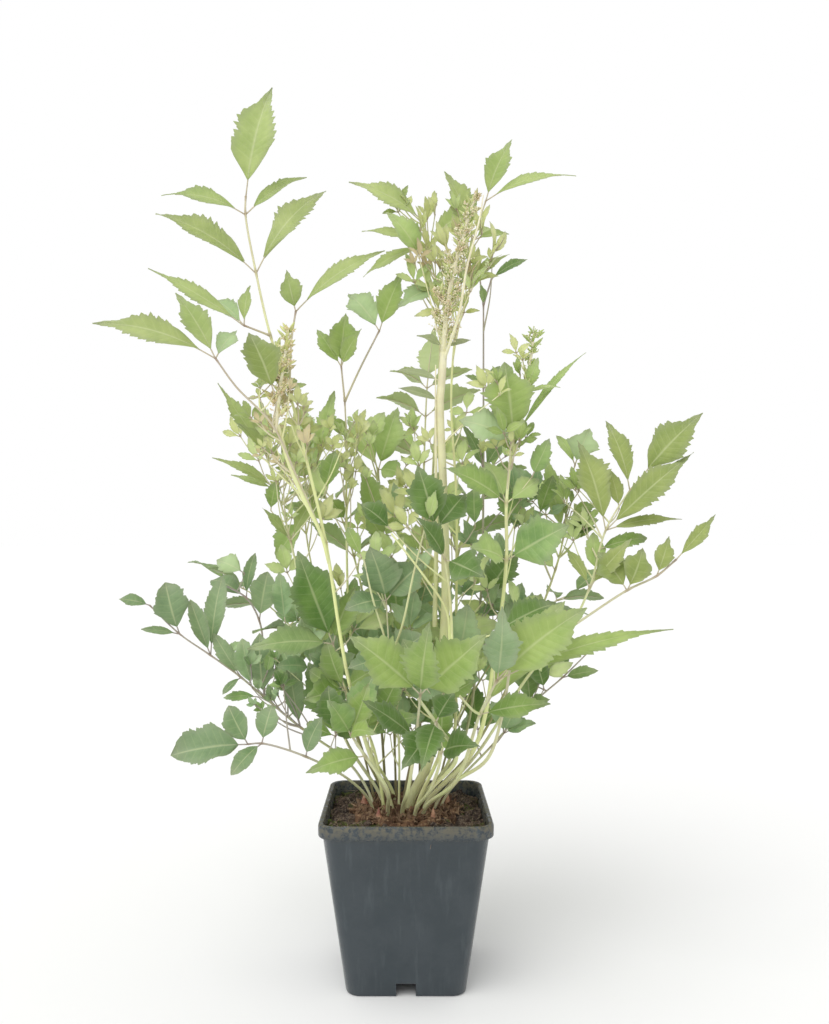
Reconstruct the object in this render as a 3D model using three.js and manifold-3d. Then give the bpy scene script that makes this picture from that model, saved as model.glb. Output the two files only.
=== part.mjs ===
// Astilbe in its nursery pot: a young clump of toothed, compound fronds and budding flower stems,
// rooted in a square pot full of peat. Millimetres, +Z up, origin on the ground under the pot's middle.
import * as THREE from 'three';
import { mergeVertices } from 'three/addons/utils/BufferGeometryUtils.js';
import Module from 'manifold-3d';

const wasm = await Module();
wasm.setup();

// ---------------------------------------------------------------- driving dimensions
const CLEARANCE = 0.3;

const POT_HEIGHT = 95;
const RIM_HALF = 46.5;
const BODY_HALF = 44.2;
const BASE_HALF = 32.5;
const RIM_DEPTH = 7;
const WALL = 1.4;
const CORNER_RADIUS = 8;
const CORNER_STEPS = 2;
const RIM_ROLL = 1;
const CHANNEL_WIDTH = 10.5;
const CHANNEL_HEIGHT = 7.5;
const DRAIN_RADIUS = 3.5;
const DRAIN_OFFSET = 14;
const DRAIN_SIDES = 8;

const SOIL_LEVEL = 89;
const SOIL_BUMP = 1.6;
const SOIL_DIP = 1.5;
const SOIL_CELLS = 8;
const ROOT_DEPTH = 12;
const FOOT_RISE = 5.5;
const HOLE_SLACK = 0.5;

const CROWN_RADIUS = 31;
const CROWN_RISE = 4;
const CROWN_SINK = 22;
const CROWN_SIDES = 10;
const CROWN_BUDS = 5;
const BUD_CIRCLE = 25.4;
const FIRST_BUD = 18;
const BUD_RADIUS = 2.4;
const BUD_HEIGHT = 7;
const BUD_SIDES = 4;

const BLADE_THICKNESS = 0.64;
const STALK_SHARE = 0.13;
const STALK_HALF_WIDTH = 0.32;
const STALK_START = 0.45;
const END_SEAT = 0.12;
const BLADE_FOLD = 0.22;
const BLADE_CAMBER = 0.07;
const LARGE_BLADE = 48;
const FIRST_TOOTH = 0.3;
const TOOTH_SPAN = 0.48;
const TOOTH_WIDTH = 1.1;
const NOTCH_STEP = 0.05;
const NOTCH_WIDTH = 0.76;

const STEM_SIDES = 5;
const PINNA_SIDES = 4;
const PINNA_END = 0.75;

const HEAD_FOOT = 1.9;
const HEAD_END = 0.8;
const SPRAY_RADIUS = 2.3;
const SPRAY_SIDES = 3;
const SPRAY_TURN = 2.4;

// Stem radii at the crown and at the last leaflet, for each kind of frond.
const TONES = {
  young: { colour: 0x9fb866, foot: 1.7, end: 0.8 },
  light: { colour: 0x8fae5c, foot: 1.8, end: 0.9 },
  mid: { colour: 0x6c9150, foot: 1.6, end: 0.8 },
  dark: { colour: 0x567d45, foot: 1.3, end: 0.75 },
  blue: { colour: 0x6f9374, foot: 1.3, end: 0.75 },
  stalk: { colour: 0xc2c793, foot: 2.8, end: 2.3 },
};

const FRONT_FACING = new THREE.Vector3(0, -0.85, 0.52);
const UP = new THREE.Vector3(0, 0, 1);

// ---------------------------------------------------------------- the fronds, one by one
// rachis: points from the leaf stalk to the last leaflet. Leaflets: [rachis point, heading, lean to the
// front, length, width], with the heading in degrees from +X towards +Z. Pinnae branch off at a rachis point.
const FRONDS = [
  {
    name: 'tall_left', tone: 'young', root: [-8, -9],
    rachis: [[-19, -16, 123], [-30, -24, 163], [-35, -28, 190], [-43, -32, 243], [-53, -34, 287],
      [-62, -36, 323], [-72, -36, 353], [-80, -34, 387], [-86, -32, 419], [-86, -31, 429]],
    leaflets: [[9, 80, -5, 63, 23], [8, 165, 16, 43, 13], [8, 42, -23, 46, 10], [7, 147, 14, 58, 16],
      [7, 59, -12, 65, 17], [5, 114, 12, 38, 18]],
    pinnae: [
      { at: 6, path: [[-85, -42, 357]], leaflets: [[0, 153, 10, 56, 9], [0, 87, -14, 25, 7],
        [0, 134, -33, 33, 11]] },
      { at: 3, path: [[-57, -42, 277], [-69, -50, 304], [-87, -54, 323],
        [-97, -56, 337]], leaflets: [[3, 159, 7, 64, 13], [3, 122, -9, 39, 14], [3, 65, -38, 26, 10]] },
      { at: 5, path: [[-62, -26, 354], [-60, -24, 369]], leaflets: [[1, 41, -14, 66, 10],
        [1, 106, 16, 22, 12]] },
    ],
  },
  {
    name: 'center_flower', tone: 'stalk', root: [2, -3],
    rachis: [[13, -8, 121], [18, -10, 155], [22, -12, 211], [21, -12, 267], [19, -12, 322],
      [20, -12, 333], [21, -12, 352]],
    leaflets: [[4, 169, 23, 25, 6], [5, 162, -16, 28, 6]],
    pinnae: [],
  },
  {
    name: 'top_center', tone: 'young', root: [8, 3],
    rachis: [[25, 6, 117], [29, 6, 164], [29, 4, 210], [29, 3, 267], [26, 3, 325], [28, 3, 359],
      [33, 5, 389], [39, 6, 418], [46, 5, 440]],
    leaflets: [[8, 71, 5, 37, 13], [8, 19, 12, 52, 9], [7, 116, 24, 40, 18], [7, 17, -23, 25, 6],
      [6, 41, 9, 32, 8], [7, 49, -35, 31, 6]],
    pinnae: [],
  },
  {
    name: 'top_back', tone: 'young', root: [-1, 7],
    rachis: [[5, 12, 126], [11, 20, 185], [14, 20, 244], [17, 20, 304], [20, 18, 360], [18, 16, 392],
      [13, 14, 417], [11, 12, 430]],
    leaflets: [[7, 152, 12, 49, 14], [6, 170, 15, 39, 8], [5, -142, 47, 38, 14], [6, -161, -13, 43, 9],
      [6, 49, -22, 43, 14]],
    pinnae: [],
  },
  {
    name: 'thin_right', tone: 'dark', root: [13, 9],
    rachis: [[34, 19, 125], [45, 30, 208], [47, 32, 287], [47, 32, 338], [47, 32, 387]],
    leaflets: [[3, 49, -20, 18, 6], [2, 54, -27, 27, 9], [2, 117, 8, 30, 8]],
    pinnae: [
      { at: 4, path: [[52, 32, 403]], leaflets: [[0, 32, -4, 26, 7]] },
      { at: 4, path: [[44, 30, 407]], leaflets: [[0, 112, 9, 13, 7]] },
    ],
  },
  {
    name: 'lobed', tone: 'mid', root: [-7, 13],
    rachis: [[-24, 22, 125], [-34, 28, 196], [-36, 30, 256], [-36, 30, 305], [-37, 30, 328]],
    leaflets: [[2, 129, 28, 20, 11]],
    pinnae: [
      { at: 4, path: [[-39, 28, 349]], leaflets: [[0, 86, 4, 32, 19], [0, 125, -11, 30, 11],
        [0, 61, 13, 27, 12]] },
      { at: 4, path: [[-28, 28, 347], [-16, 26, 370]], leaflets: [[1, 66, 9, 37, 16],
        [1, 126, -17, 34, 17]] },
    ],
  },
  {
    name: 'right_buds', tone: 'light', root: [11, -6],
    rachis: [[38, -10, 127], [50, -12, 183], [56, -12, 233], [56, -12, 265], [60, -12, 300],
      [66, -10, 326], [69, -8, 339]],
    leaflets: [[4, 98, 8, 43, 27], [4, 152, 25, 33, 20], [5, 62, 6, 21, 8], [4, 58, -10, 80, 8],
      [3, 149, 14, 41, 19], [3, 32, -21, 27, 14], [2, 39, 12, 39, 25], [2, 158, 39, 29, 20],
      [3, 106, -29, 38, 15]],
    pinnae: [],
  },
  {
    name: 'right_top', tone: 'young', root: [17, -4],
    rachis: [[41, -6, 125], [69, -10, 169], [91, -12, 195], [102, -14, 218], [111, -14, 250],
      [124, -16, 272], [130, -16, 279]],
    leaflets: [[6, 49, 7, 48, 22], [5, 103, -11, 42, 12], [4, 42, 17, 62, 16], [4, 91, -13, 54, 17],
      [4, 12, 11, 41, 7], [3, 115, -17, 28, 7], [3, 54, 20, 35, 11]],
    pinnae: [
      { at: 2, path: [[121, -22, 217], [136, -26, 225], [146, -28, 234]], leaflets: [[2, 47, 7, 32, 8],
        [1, 68, -10, 22, 11], [0, 66, 9, 24, 16], [0, 127, -9, 26, 17]] },
    ],
  },
  {
    name: 'right_inner', tone: 'mid', root: [14, 3],
    rachis: [[41, 8, 126], [69, 12, 180], [88, 16, 227], [93, 18, 246], [96, 18, 274], [100, 18, 289]],
    leaflets: [[5, 71, 5, 23, 17], [5, 111, -10, 23, 8], [3, 107, 4, 54, 10], [4, 18, -26, 19, 8],
      [3, 48, -11, 30, 9], [3, 22, 23, 20, 11]],
    pinnae: [],
  },
  {
    name: 'long_right', tone: 'light', root: [10, -15],
    rachis: [[27, -36, 117], [38, -52, 155], [46, -60, 174]],
    leaflets: [[2, 45, 12, 58, 24], [2, 20, -2, 94, 10], [1, 53, -14, 77, 22], [2, 86, 31, 42, 18],
      [1, 24, 13, 36, 13]],
    pinnae: [],
  },
  {
    name: 'dark_right', tone: 'dark', root: [21, 1],
    rachis: [[49, 12, 123], [74, 22, 146], [94, 26, 162], [111, 28, 178]],
    leaflets: [[2, 97, -24, 20, 11], [1, 94, -18, 26, 14], [2, 13, 17, 21, 8]],
    pinnae: [],
  },
  {
    name: 'left_low', tone: 'blue', root: [-19, 0],
    rachis: [[-32, 8, 114], [-62, 16, 134], [-84, 20, 151], [-98, 20, 163], [-116, 20, 176],
      [-134, 18, 189], [-151, 16, 206]],
    leaflets: [[6, 165, 7, 18, 8], [5, 99, -15, 31, 20], [5, 171, 33, 22, 5], [4, 86, -16, 50, 14],
      [4, 106, 16, 36, 10], [3, 118, -16, 30, 11], [2, 95, 15, 39, 16], [1, 101, 15, 39, 12]],
    pinnae: [
      { at: 2, path: [[-87, 36, 177], [-90, 38, 195], [-98, 38, 209],
        [-110, 38, 216]], leaflets: [[2, 140, -10, 35, 15], [2, 85, -8, 28, 8], [1, 88, -15, 30, 17]] },
    ],
  },
  {
    name: 'left_fall', tone: 'blue', root: [-19, -8],
    rachis: [[-30, -20, 112], [-54, -30, 128], [-77, -34, 136], [-84, -36, 136]],
    leaflets: [[3, -176, 12, 40, 21], [3, 122, -5, 23, 13], [2, 76, -18, 20, 13], [2, -141, 48, 24, 9],
      [1, 72, 23, 26, 11]],
    pinnae: [],
  },
  {
    name: 'front_left', tone: 'light', root: [-10, -17],
    rachis: [[-10, -36, 112], [-21, -50, 133], [-28, -58, 146]],
    leaflets: [[2, 118, 25, 24, 16], [2, 74, 26, 27, 13], [1, 158, 42, 33, 12], [2, 35, 60, 30, 11]],
    pinnae: [],
  },
  {
    name: 'front_center', tone: 'light', root: [-2, -17],
    rachis: [[1, -38, 112], [5, -60, 144], [7, -74, 169]],
    leaflets: [[2, 139, 13, 46, 24], [2, 41, 20, 46, 25], [2, 84, 43, 49, 17], [1, 128, 43, 41, 13]],
    pinnae: [],
  },
  {
    name: 'front_low', tone: 'mid', root: [5, -19],
    rachis: [[13, -36, 112], [18, -54, 136], [15, -66, 154]],
    leaflets: [[2, -158, 36, 34, 18], [2, 61, -19, 18, 15], [1, 32, 52, 33, 15], [2, -121, 66, 41, 13]],
    pinnae: [],
  },
  {
    name: 'mid_left', tone: 'mid', root: [-13, -3],
    rachis: [[-19, -2, 128], [-34, -6, 160], [-41, -8, 186]],
    leaflets: [[2, 113, 8, 56, 26], [2, 175, 25, 48, 17], [1, -168, 34, 25, 20], [2, 73, -10, 35, 16]],
    pinnae: [],
  },
  {
    name: 'left_upper', tone: 'young', root: [-14, 6],
    rachis: [[-35, 10, 128], [-55, 14, 186], [-68, 16, 244], [-76, 16, 274], [-82, 14, 294]],
    leaflets: [[4, 127, 9, 50, 9], [4, 95, -10, 35, 12], [3, 149, 20, 41, 7], [4, 123, 40, 28, 9],
      [3, 66, -9, 40, 12], [3, 163, -8, 30, 5], [2, 64, -16, 37, 10], [2, 128, 27, 26, 7]],
    pinnae: [],
  },
  {
    name: 'left_back', tone: 'mid', root: [-13, 11],
    rachis: [[-30, 26, 127], [-50, 34, 196], [-62, 40, 257], [-58, 42, 288]],
    leaflets: [[3, 71, -2, 51, 12], [3, 102, -9, 49, 14], [3, 43, 36, 20, 13], [2, -128, -11, 32, 16],
      [2, 15, -26, 27, 16], [3, 127, -29, 29, 14]],
    pinnae: [],
  },
  {
    name: 'mid_center', tone: 'dark', root: [-4, -6],
    rachis: [[-4, -8, 129], [-9, -12, 178], [-11, -14, 211]],
    leaflets: [[2, 104, 18, 33, 22], [2, 60, 28, 30, 20], [2, 176, 44, 26, 17], [1, 34, 28, 26, 20],
      [1, -175, 42, 27, 15]],
    pinnae: [],
  },
  {
    name: 'upper_mid', tone: 'mid', root: [3, 13],
    rachis: [[2, 20, 127], [-7, 36, 183], [-14, 40, 244], [-17, 42, 288]],
    leaflets: [[3, 72, -3, 41, 19], [3, 122, -12, 39, 16], [2, 112, 7, 52, 16], [2, 65, -22, 31, 15],
      [2, 114, 21, 28, 13], [1, 56, -26, 32, 19]],
    pinnae: [],
  },
  {
    name: 'right_center', tone: 'mid', root: [6, -10],
    rachis: [[21, -18, 134], [25, -24, 190], [21, -28, 234], [16, -30, 250]],
    leaflets: [[3, 106, 6, 36, 22], [3, 52, -15, 32, 17], [2, -16, 24, 25, 19], [2, 135, 28, 34, 14]],
    pinnae: [],
  },
];

// Fronds behind the clump, which follow one rule: azimuth from +X, how far and how high they reach.
const BACK_FRONDS = [
  { name: 'back_high', tone: 'young', root: [8, 18], azimuth: 84, reach: 62, height: 262, blade: 38, seed: 11 },
  { name: 'back_left', tone: 'mid', root: [-12, 19], azimuth: 122, reach: 76, height: 186, blade: 36, seed: 23 },
  { name: 'back_right', tone: 'mid', root: [13, 21], azimuth: 55, reach: 76, height: 200, blade: 36, seed: 37 },
  { name: 'back_low', tone: 'blue', root: [-6, 22], azimuth: 99, reach: 58, height: 104, blade: 32, seed: 41 },
  { name: 'left_rear', tone: 'dark', root: [-19, 12], azimuth: 150, reach: 112, height: 128, blade: 32, seed: 53 },
  { name: 'right_rear', tone: 'dark', root: [18, 14], azimuth: 33, reach: 108, height: 120, blade: 34, seed: 67 },
];

// Budding flower heads: the axis of each head, how wide it is and how many side sprays it has.
const FLOWER_HEADS = [
  { name: 'flower_head_center', axis: [[21, -12, 353], [24, -18, 381], [31, -19, 411], [38, -18, 434]],
    spread: 15, sprays: 19, seed: 5 },
  { name: 'flower_head_left', axis: [[-67, -48, 306], [-64, -46, 334], [-61, -44, 354]],
    spread: 11, sprays: 11, seed: 7 },
  { name: 'flower_head_right', axis: [[69, -8, 340], [71, -8, 352], [72, -7, 361]],
    spread: 8, sprays: 7, seed: 9 },
];

const HEAD_COLOUR = 0xc9a98c;
const POT_COLOUR = 0x3a4248;
const PEAT_COLOUR = 0x4d3a2c;
const CROWN_COLOUR = 0x6d5138;

// ---------------------------------------------------------------- solids
function signedVolume(positions, triangles) {
  const [a, b, c] = [new THREE.Vector3(), new THREE.Vector3(), new THREE.Vector3()];
  let sum = 0;
  for (let i = 0; i < triangles.length; i += 3) {
    a.fromArray(positions, 3 * triangles[i]);
    b.fromArray(positions, 3 * triangles[i + 1]);
    c.fromArray(positions, 3 * triangles[i + 2]);
    sum += a.dot(b.cross(c));
  }
  return sum / 6;
}

function solidOf(geometry) {
  const bare = geometry.clone();
  bare.deleteAttribute('normal');
  bare.deleteAttribute('uv');
  const merged = mergeVertices(bare, 1e-4);
  const vertProperties = Float32Array.from(merged.attributes.position.array);
  const triVerts = Uint32Array.from(merged.index.array);
  if (signedVolume(vertProperties, triVerts) < 0) {
    for (let i = 0; i < triVerts.length; i += 3) {
      [triVerts[i], triVerts[i + 1]] = [triVerts[i + 1], triVerts[i]];
    }
  }
  return new wasm.Manifold(new wasm.Mesh({ numProp: 3, vertProperties, triVerts }));
}

function geometryOf(solid) {
  const mesh = solid.getMesh();
  const geometry = new THREE.BufferGeometry();
  geometry.setAttribute('position', new THREE.BufferAttribute(mesh.vertProperties, 3));
  geometry.setIndex(new THREE.BufferAttribute(mesh.triVerts, 1));
  geometry.computeVertexNormals();
  return geometry;
}

function fuse(solids) {
  let row = solids;
  while (row.length > 1) {
    const next = [];
    for (let i = 0; i < row.length; i += 2) {
      next.push(i + 1 < row.length ? row[i].add(row[i + 1]) : row[i]);
    }
    row = next;
  }
  return row[0];
}

function triangleMesh(points, triangles) {
  const geometry = new THREE.BufferGeometry();
  const flat = points.flatMap((p) => [p.x, p.y, p.z]);
  geometry.setAttribute('position', new THREE.Float32BufferAttribute(flat, 3));
  geometry.setIndex(triangles);
  return geometry;
}

function randomFrom(seed) {
  let state = seed;
  return () => {
    state = (state * 16807) % 2147483647;
    return state / 2147483647;
  };
}

// ---------------------------------------------------------------- stems
// A smooth curve whose equal steps fall on its own points, so that a tube's rings pass through them.
class StemCurve extends THREE.CatmullRomCurve3 {
  getUtoTmapping(u) {
    return u;
  }
}

function stemCurve(points) {
  return new StemCurve(points, false, 'centripetal');
}

// A tube along the curve that thins evenly from its foot to its end.
function stemSolid({ points, foot, end, sides }) {
  const section = new THREE.Shape();
  for (let i = 0; i < sides; i++) {
    const angle = (2 * Math.PI * i) / sides;
    const [x, y] = [Math.cos(angle), Math.sin(angle)];
    if (i === 0) section.moveTo(x, y);
    else section.lineTo(x, y);
  }
  section.closePath();
  const curve = stemCurve(points);
  const steps = points.length - 1;
  const geometry = new THREE.ExtrudeGeometry(section, { steps, extrudePath: curve, bevelEnabled: false });
  const centres = curve.getSpacedPoints(steps);
  const position = geometry.attributes.position;
  const vertex = new THREE.Vector3();
  for (let i = 0; i < position.count; i++) {
    vertex.fromBufferAttribute(position, i);
    let nearest = 0;
    centres.forEach((centre, k) => {
      if (centre.distanceToSquared(vertex) < centres[nearest].distanceToSquared(vertex)) nearest = k;
    });
    const radius = foot + ((end - foot) * nearest) / steps;
    vertex.sub(centres[nearest]).multiplyScalar(radius).add(centres[nearest]);
    position.setXYZ(i, vertex.x, vertex.y, vertex.z);
  }
  return solidOf(geometry);
}

// The plain straight hole that a stem's foot stands in.
function holeSolid({ points, foot }) {
  const floor = points[0].clone().sub(points[1]).setLength(CLEARANCE).add(points[0]);
  const mouth = points[1].clone().sub(points[0]).setLength(FOOT_RISE).add(points[1]);
  const radius = Math.SQRT2 * (foot + CLEARANCE + HOLE_SLACK);
  return stemSolid({ points: [floor, mouth], foot: radius, end: radius, sides: 4 });
}

// ---------------------------------------------------------------- leaflets
// Half width of the blade as a share of its greatest half width, from its base (0) to its tip (1).
function bladeProfile(s) {
  const peak = Math.pow(0.4, 0.8) * Math.pow(0.6, 1.2);
  return (Math.pow(s, 0.8) * Math.pow(1 - s, 1.2)) / peak;
}

// The edge on one side as [place along the blade, half width]: teeth that point to the tip.
function bladeEdge(teeth) {
  const edge = [];
  for (let i = 0; i < teeth; i++) {
    const tooth = FIRST_TOOTH + (TOOTH_SPAN * i) / (teeth - 1);
    const notch = tooth + NOTCH_STEP;
    edge.push([tooth, TOOTH_WIDTH * bladeProfile(tooth)]);
    if (i < teeth - 1) edge.push([notch, NOTCH_WIDTH * bladeProfile(notch)]);
  }
  return edge;
}

// A point of the leaflet: s runs from the stem (0) to the tip (1), across from -1 to 1 half widths.
function leafletPoint(leaflet, s, across, lift) {
  const { base, along, up, side, length, width } = leaflet;
  const y = across * 0.5 * width;
  const rise = BLADE_FOLD * Math.abs(y) + BLADE_CAMBER * length * 4 * s * (1 - s) + lift;
  return base.clone().addScaledVector(along, s * length).addScaledVector(side, y).addScaledVector(up, rise);
}

// Triangles between two rows of points that run side by side and end at the same tip.
function stripBetween(rowA, rowB, placeA, placeB) {
  const triangles = [];
  let [i, j] = [0, 0];
  while (i < rowA.length - 1 || j < rowB.length - 1) {
    const stepA = j === rowB.length - 1 || (i < rowA.length - 1 && placeA[i + 1] <= placeB[j + 1]);
    const triangle = stepA ? [rowA[i], rowA[i + 1], rowB[j]] : [rowA[i], rowB[j + 1], rowB[j]];
    if (new Set(triangle).size === 3) triangles.push(triangle);
    if (stepA) i += 1;
    else j += 1;
  }
  return triangles;
}

function leafletSolid(leaflet) {
  const teeth = leaflet.length > LARGE_BLADE ? 3 : 2;
  const stalk = (2 * STALK_HALF_WIDTH) / leaflet.width;
  const inBlade = (s) => STALK_SHARE + (1 - STALK_SHARE) * s;
  const edge = [[STALK_SHARE, stalk], ...bladeEdge(teeth).map(([s, w]) => [inBlade(s), w]), [1, 0]];
  const count = edge.length;
  // One face: left edge, right edge without the shared tip, two midrib points, then the stalk's two corners.
  const places = [];
  edge.forEach(([s, w]) => places.push([s, -w]));
  edge.slice(0, -1).forEach(([s, w]) => places.push([s, w]));
  places.push([STALK_SHARE, 0], [inBlade(0.5), 0], [0, -stalk], [0, stalk]);
  const left = edge.map((_, i) => i);
  const right = edge.map((_, i) => (i < count - 1 ? count + i : count - 1));
  const [neck, middle, footLeft, footRight] = [2 * count - 1, 2 * count, 2 * count + 1, 2 * count + 2];
  const midrib = [neck, middle, count - 1];
  const edgePlaces = edge.map(([s]) => s);
  const midribPlaces = [STALK_SHARE, inBlade(0.5), 1];
  const face = [
    ...stripBetween(left, midrib, edgePlaces, midribPlaces),
    ...stripBetween(midrib, right, midribPlaces, edgePlaces),
    [footLeft, left[0], neck],
    [footLeft, neck, footRight],
    [footRight, neck, right[0]],
  ];
  const outline = [footLeft, ...left, ...right.slice(0, -1).reverse(), footRight];
  const size = places.length;
  const points = [0.5, -0.5].flatMap((half) =>
    places.map(([s, across]) => leafletPoint(leaflet, s, across, half * BLADE_THICKNESS)));
  const triangles = face.flatMap(([a, b, c]) => [a, b, c, a + size, c + size, b + size]);
  outline.forEach((a, i) => {
    const b = outline[(i + 1) % outline.length];
    triangles.push(b, a, a + size, b, a + size, b + size);
  });
  return solidOf(triangleMesh(points, triangles));
}

// ---------------------------------------------------------------- growing a frond
function headingVector(heading, lean) {
  const [h, e] = [THREE.MathUtils.degToRad(heading), THREE.MathUtils.degToRad(lean)];
  return new THREE.Vector3(Math.cos(h) * Math.cos(e), -Math.sin(e), Math.sin(h) * Math.cos(e));
}

function makeLeaflet(base, along, facing, length, width) {
  const side = new THREE.Vector3().crossVectors(facing, along).normalize();
  const up = new THREE.Vector3().crossVectors(along, side).normalize();
  return { base, along, side, up, length, width };
}

// Leaflets start just off the stem's axis, so that a pair's stalks don't meet inside it, and at the
// stem's last point a little way back in it.
function leafletFrom(points, at, along, facing, length, width) {
  const start = at === points.length - 1 ? -END_SEAT : STALK_START;
  return makeLeaflet(points[at].clone().addScaledVector(along, start), along, facing, length, width);
}

function growFrond(spec) {
  const tone = TONES[spec.tone];
  const [x, y] = spec.root;
  const rachis = spec.rachis.map((p) => new THREE.Vector3(...p));
  const sunk = new THREE.Vector3(0.9 * x, 0.9 * y, SOIL_LEVEL - ROOT_DEPTH);
  const surface = new THREE.Vector3(x, y, SOIL_LEVEL + FOOT_RISE);
  const stems = [{ points: [sunk, surface, ...rachis], foot: tone.foot, end: tone.end, sides: STEM_SIDES }];
  const leaflets = [];
  const addRows = (rows, points) => {
    for (const [at, heading, lean, length, width] of rows) {
      leaflets.push(leafletFrom(points, at, headingVector(heading, lean), FRONT_FACING, length, width));
    }
  };
  addRows(spec.leaflets, rachis);
  for (const pinna of spec.pinnae) {
    const path = pinna.path.map((p) => new THREE.Vector3(...p));
    stems.push({ points: [rachis[pinna.at], ...path], foot: tone.end, end: PINNA_END, sides: PINNA_SIDES });
    addRows(pinna.leaflets, path);
  }
  return { name: spec.name, tone, stems, leaflets };
}

// A frond that arches outwards, with leaflets in pairs up the rachis and a last one at its end.
function growBackFrond(spec) {
  const tone = TONES[spec.tone];
  const [x, y] = spec.root;
  const random = randomFrom(spec.seed);
  const angle = THREE.MathUtils.degToRad(spec.azimuth);
  const outwards = new THREE.Vector3(Math.cos(angle), Math.sin(angle), 0);
  const at = (u) => new THREE.Vector3(x, y, SOIL_LEVEL)
    .addScaledVector(outwards, spec.reach * Math.pow(u, 1.6))
    .addScaledVector(UP, spec.height * (1 - Math.pow(1 - u, 1.4)));
  const rachis = [0.25, 0.5, 0.66, 0.8, 0.92, 1].map(at);
  const sunk = new THREE.Vector3(0.9 * x, 0.9 * y, SOIL_LEVEL - ROOT_DEPTH);
  const surface = new THREE.Vector3(x, y, SOIL_LEVEL + FOOT_RISE);
  const stems = [{ points: [sunk, surface, ...rachis], foot: tone.foot, end: tone.end, sides: STEM_SIDES }];
  const facing = UP.clone().addScaledVector(outwards, 0.7).normalize();
  const leaflets = [];
  const pair = (k, spread, length, add) => {
    const tangent = rachis[k].clone().sub(rachis[k - 1]).normalize();
    const side = new THREE.Vector3().crossVectors(facing, tangent).normalize();
    for (const hand of [-1, 1]) {
      const turn = THREE.MathUtils.degToRad(spread + 12 * (random() - 0.5));
      const along = tangent.clone().multiplyScalar(Math.cos(turn)).addScaledVector(side, hand * Math.sin(turn));
      along.addScaledVector(UP, -0.25 * random()).normalize();
      add(k, along, length * (0.88 + 0.24 * random()));
    }
    return tangent;
  };
  const addBlade = (k, along, length) => {
    leaflets.push(leafletFrom(rachis, k, along, facing, length, length * (0.38 + 0.1 * random())));
  };
  pair(2, 62, spec.blade * 1.05, addBlade);
  pair(3, 58, spec.blade, addBlade);
  const tangent = pair(4, 52, spec.blade * 0.85, addBlade);
  addBlade(5, tangent, spec.blade * 1.15);
  return { name: spec.name, tone, stems, leaflets };
}

// ---------------------------------------------------------------- keeping clear of each other
const SAMPLE_STEP = 3;
const CELL = 8;
const LEAF_GAP = 3.6;
const OWN_GAP = 1.8;
const OWN_REACH = 9;
// Turns in degrees that a leaflet tries in order: in its own plane, then up or down.
const TURNS = [[0, 0], [0, 13], [0, -13], [11, 0], [-11, 0], [10, 18], [-10, 18], [10, -18], [-10, -18],
  [0, 30], [0, -30], [22, 0], [-22, 0]];

const occupied = new Map();

function cellKey(i, j, k) {
  return (i + 200) * 1000000 + (j + 200) * 1000 + (k + 200);
}

function occupy(point, radius, owner) {
  const key = cellKey(Math.floor(point.x / CELL), Math.floor(point.y / CELL), Math.floor(point.z / CELL));
  if (!occupied.has(key)) occupied.set(key, []);
  occupied.get(key).push([point, radius, owner]);
}

// The nearest that anything comes to the point, less its radius: other fronds', or only the owner's own.
function nearest(point, owner, own) {
  const [ci, cj, ck] = [point.x, point.y, point.z].map((v) => Math.floor(v / CELL));
  let gap = CELL;
  for (let i = ci - 1; i <= ci + 1; i++) {
    for (let j = cj - 1; j <= cj + 1; j++) {
      for (let k = ck - 1; k <= ck + 1; k++) {
        for (const [other, size, name] of occupied.get(cellKey(i, j, k)) ?? []) {
          if ((name === owner) === own) gap = Math.min(gap, other.distanceTo(point) - size);
        }
      }
    }
  }
  return gap;
}

function clearOfOthers(samples, owner) {
  return samples.every((p) => {
    const byThePot = Math.max(Math.abs(p.x), Math.abs(p.y)) < RIM_HALF + 3 && p.z < POT_HEIGHT + 3;
    return !byThePot && nearest(p, owner, false) > LEAF_GAP;
  });
}

// Past its own stalk, a leaflet also keeps off the rest of its frond where it can.
function clearOfOwn(samples, owner, base) {
  return samples.every((p) => p.distanceTo(base) < OWN_REACH || nearest(p, owner, true) > OWN_GAP);
}

function stemSamples({ points }) {
  const curve = stemCurve(points);
  const spans = points.length - 1;
  const samples = [];
  for (let k = 0; k < spans; k++) {
    const parts = Math.ceil(points[k].distanceTo(points[k + 1]) / SAMPLE_STEP);
    for (let j = 0; j < parts; j++) samples.push(curve.getPoint((k + j / parts) / spans));
  }
  return samples;
}

function leafletSamples(leaflet) {
  const rows = Math.ceil(leaflet.length / SAMPLE_STEP);
  const samples = [];
  for (let i = 1; i <= rows; i++) {
    const s = STALK_SHARE + ((1 - STALK_SHARE) * i) / rows;
    const half = bladeProfile(i / rows);
    const columns = Math.ceil((half * leaflet.width) / 2 / SAMPLE_STEP);
    for (let j = -columns; j <= columns; j++) {
      samples.push(leafletPoint(leaflet, s, columns ? (half * j) / columns : 0, 0));
    }
  }
  return samples;
}

function turned(leaflet, inPlane, upwards) {
  const along = leaflet.along.clone()
    .applyAxisAngle(leaflet.up, THREE.MathUtils.degToRad(inPlane))
    .applyAxisAngle(leaflet.side, THREE.MathUtils.degToRad(-upwards))
    .normalize();
  return makeLeaflet(leaflet.base, along, leaflet.up, leaflet.length, leaflet.width);
}

// Each leaflet takes the first turn in which it touches nothing, or else nothing of another frond's, and
// is left out if none is free.
function settleLeaflets(frond) {
  const kept = [];
  for (const leaflet of frond.leaflets) {
    const free = TURNS.map(([inPlane, upwards]) => turned(leaflet, inPlane, upwards))
      .map((placed) => ({ placed, samples: leafletSamples(placed) }))
      .filter(({ samples }) => clearOfOthers(samples, frond.name));
    const best = free.find(({ samples }) => clearOfOwn(samples, frond.name, leaflet.base)) ?? free[0];
    if (best === undefined) continue;
    best.samples.forEach((p) => occupy(p, 0, frond.name));
    kept.push(best.placed);
  }
  return kept;
}

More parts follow.
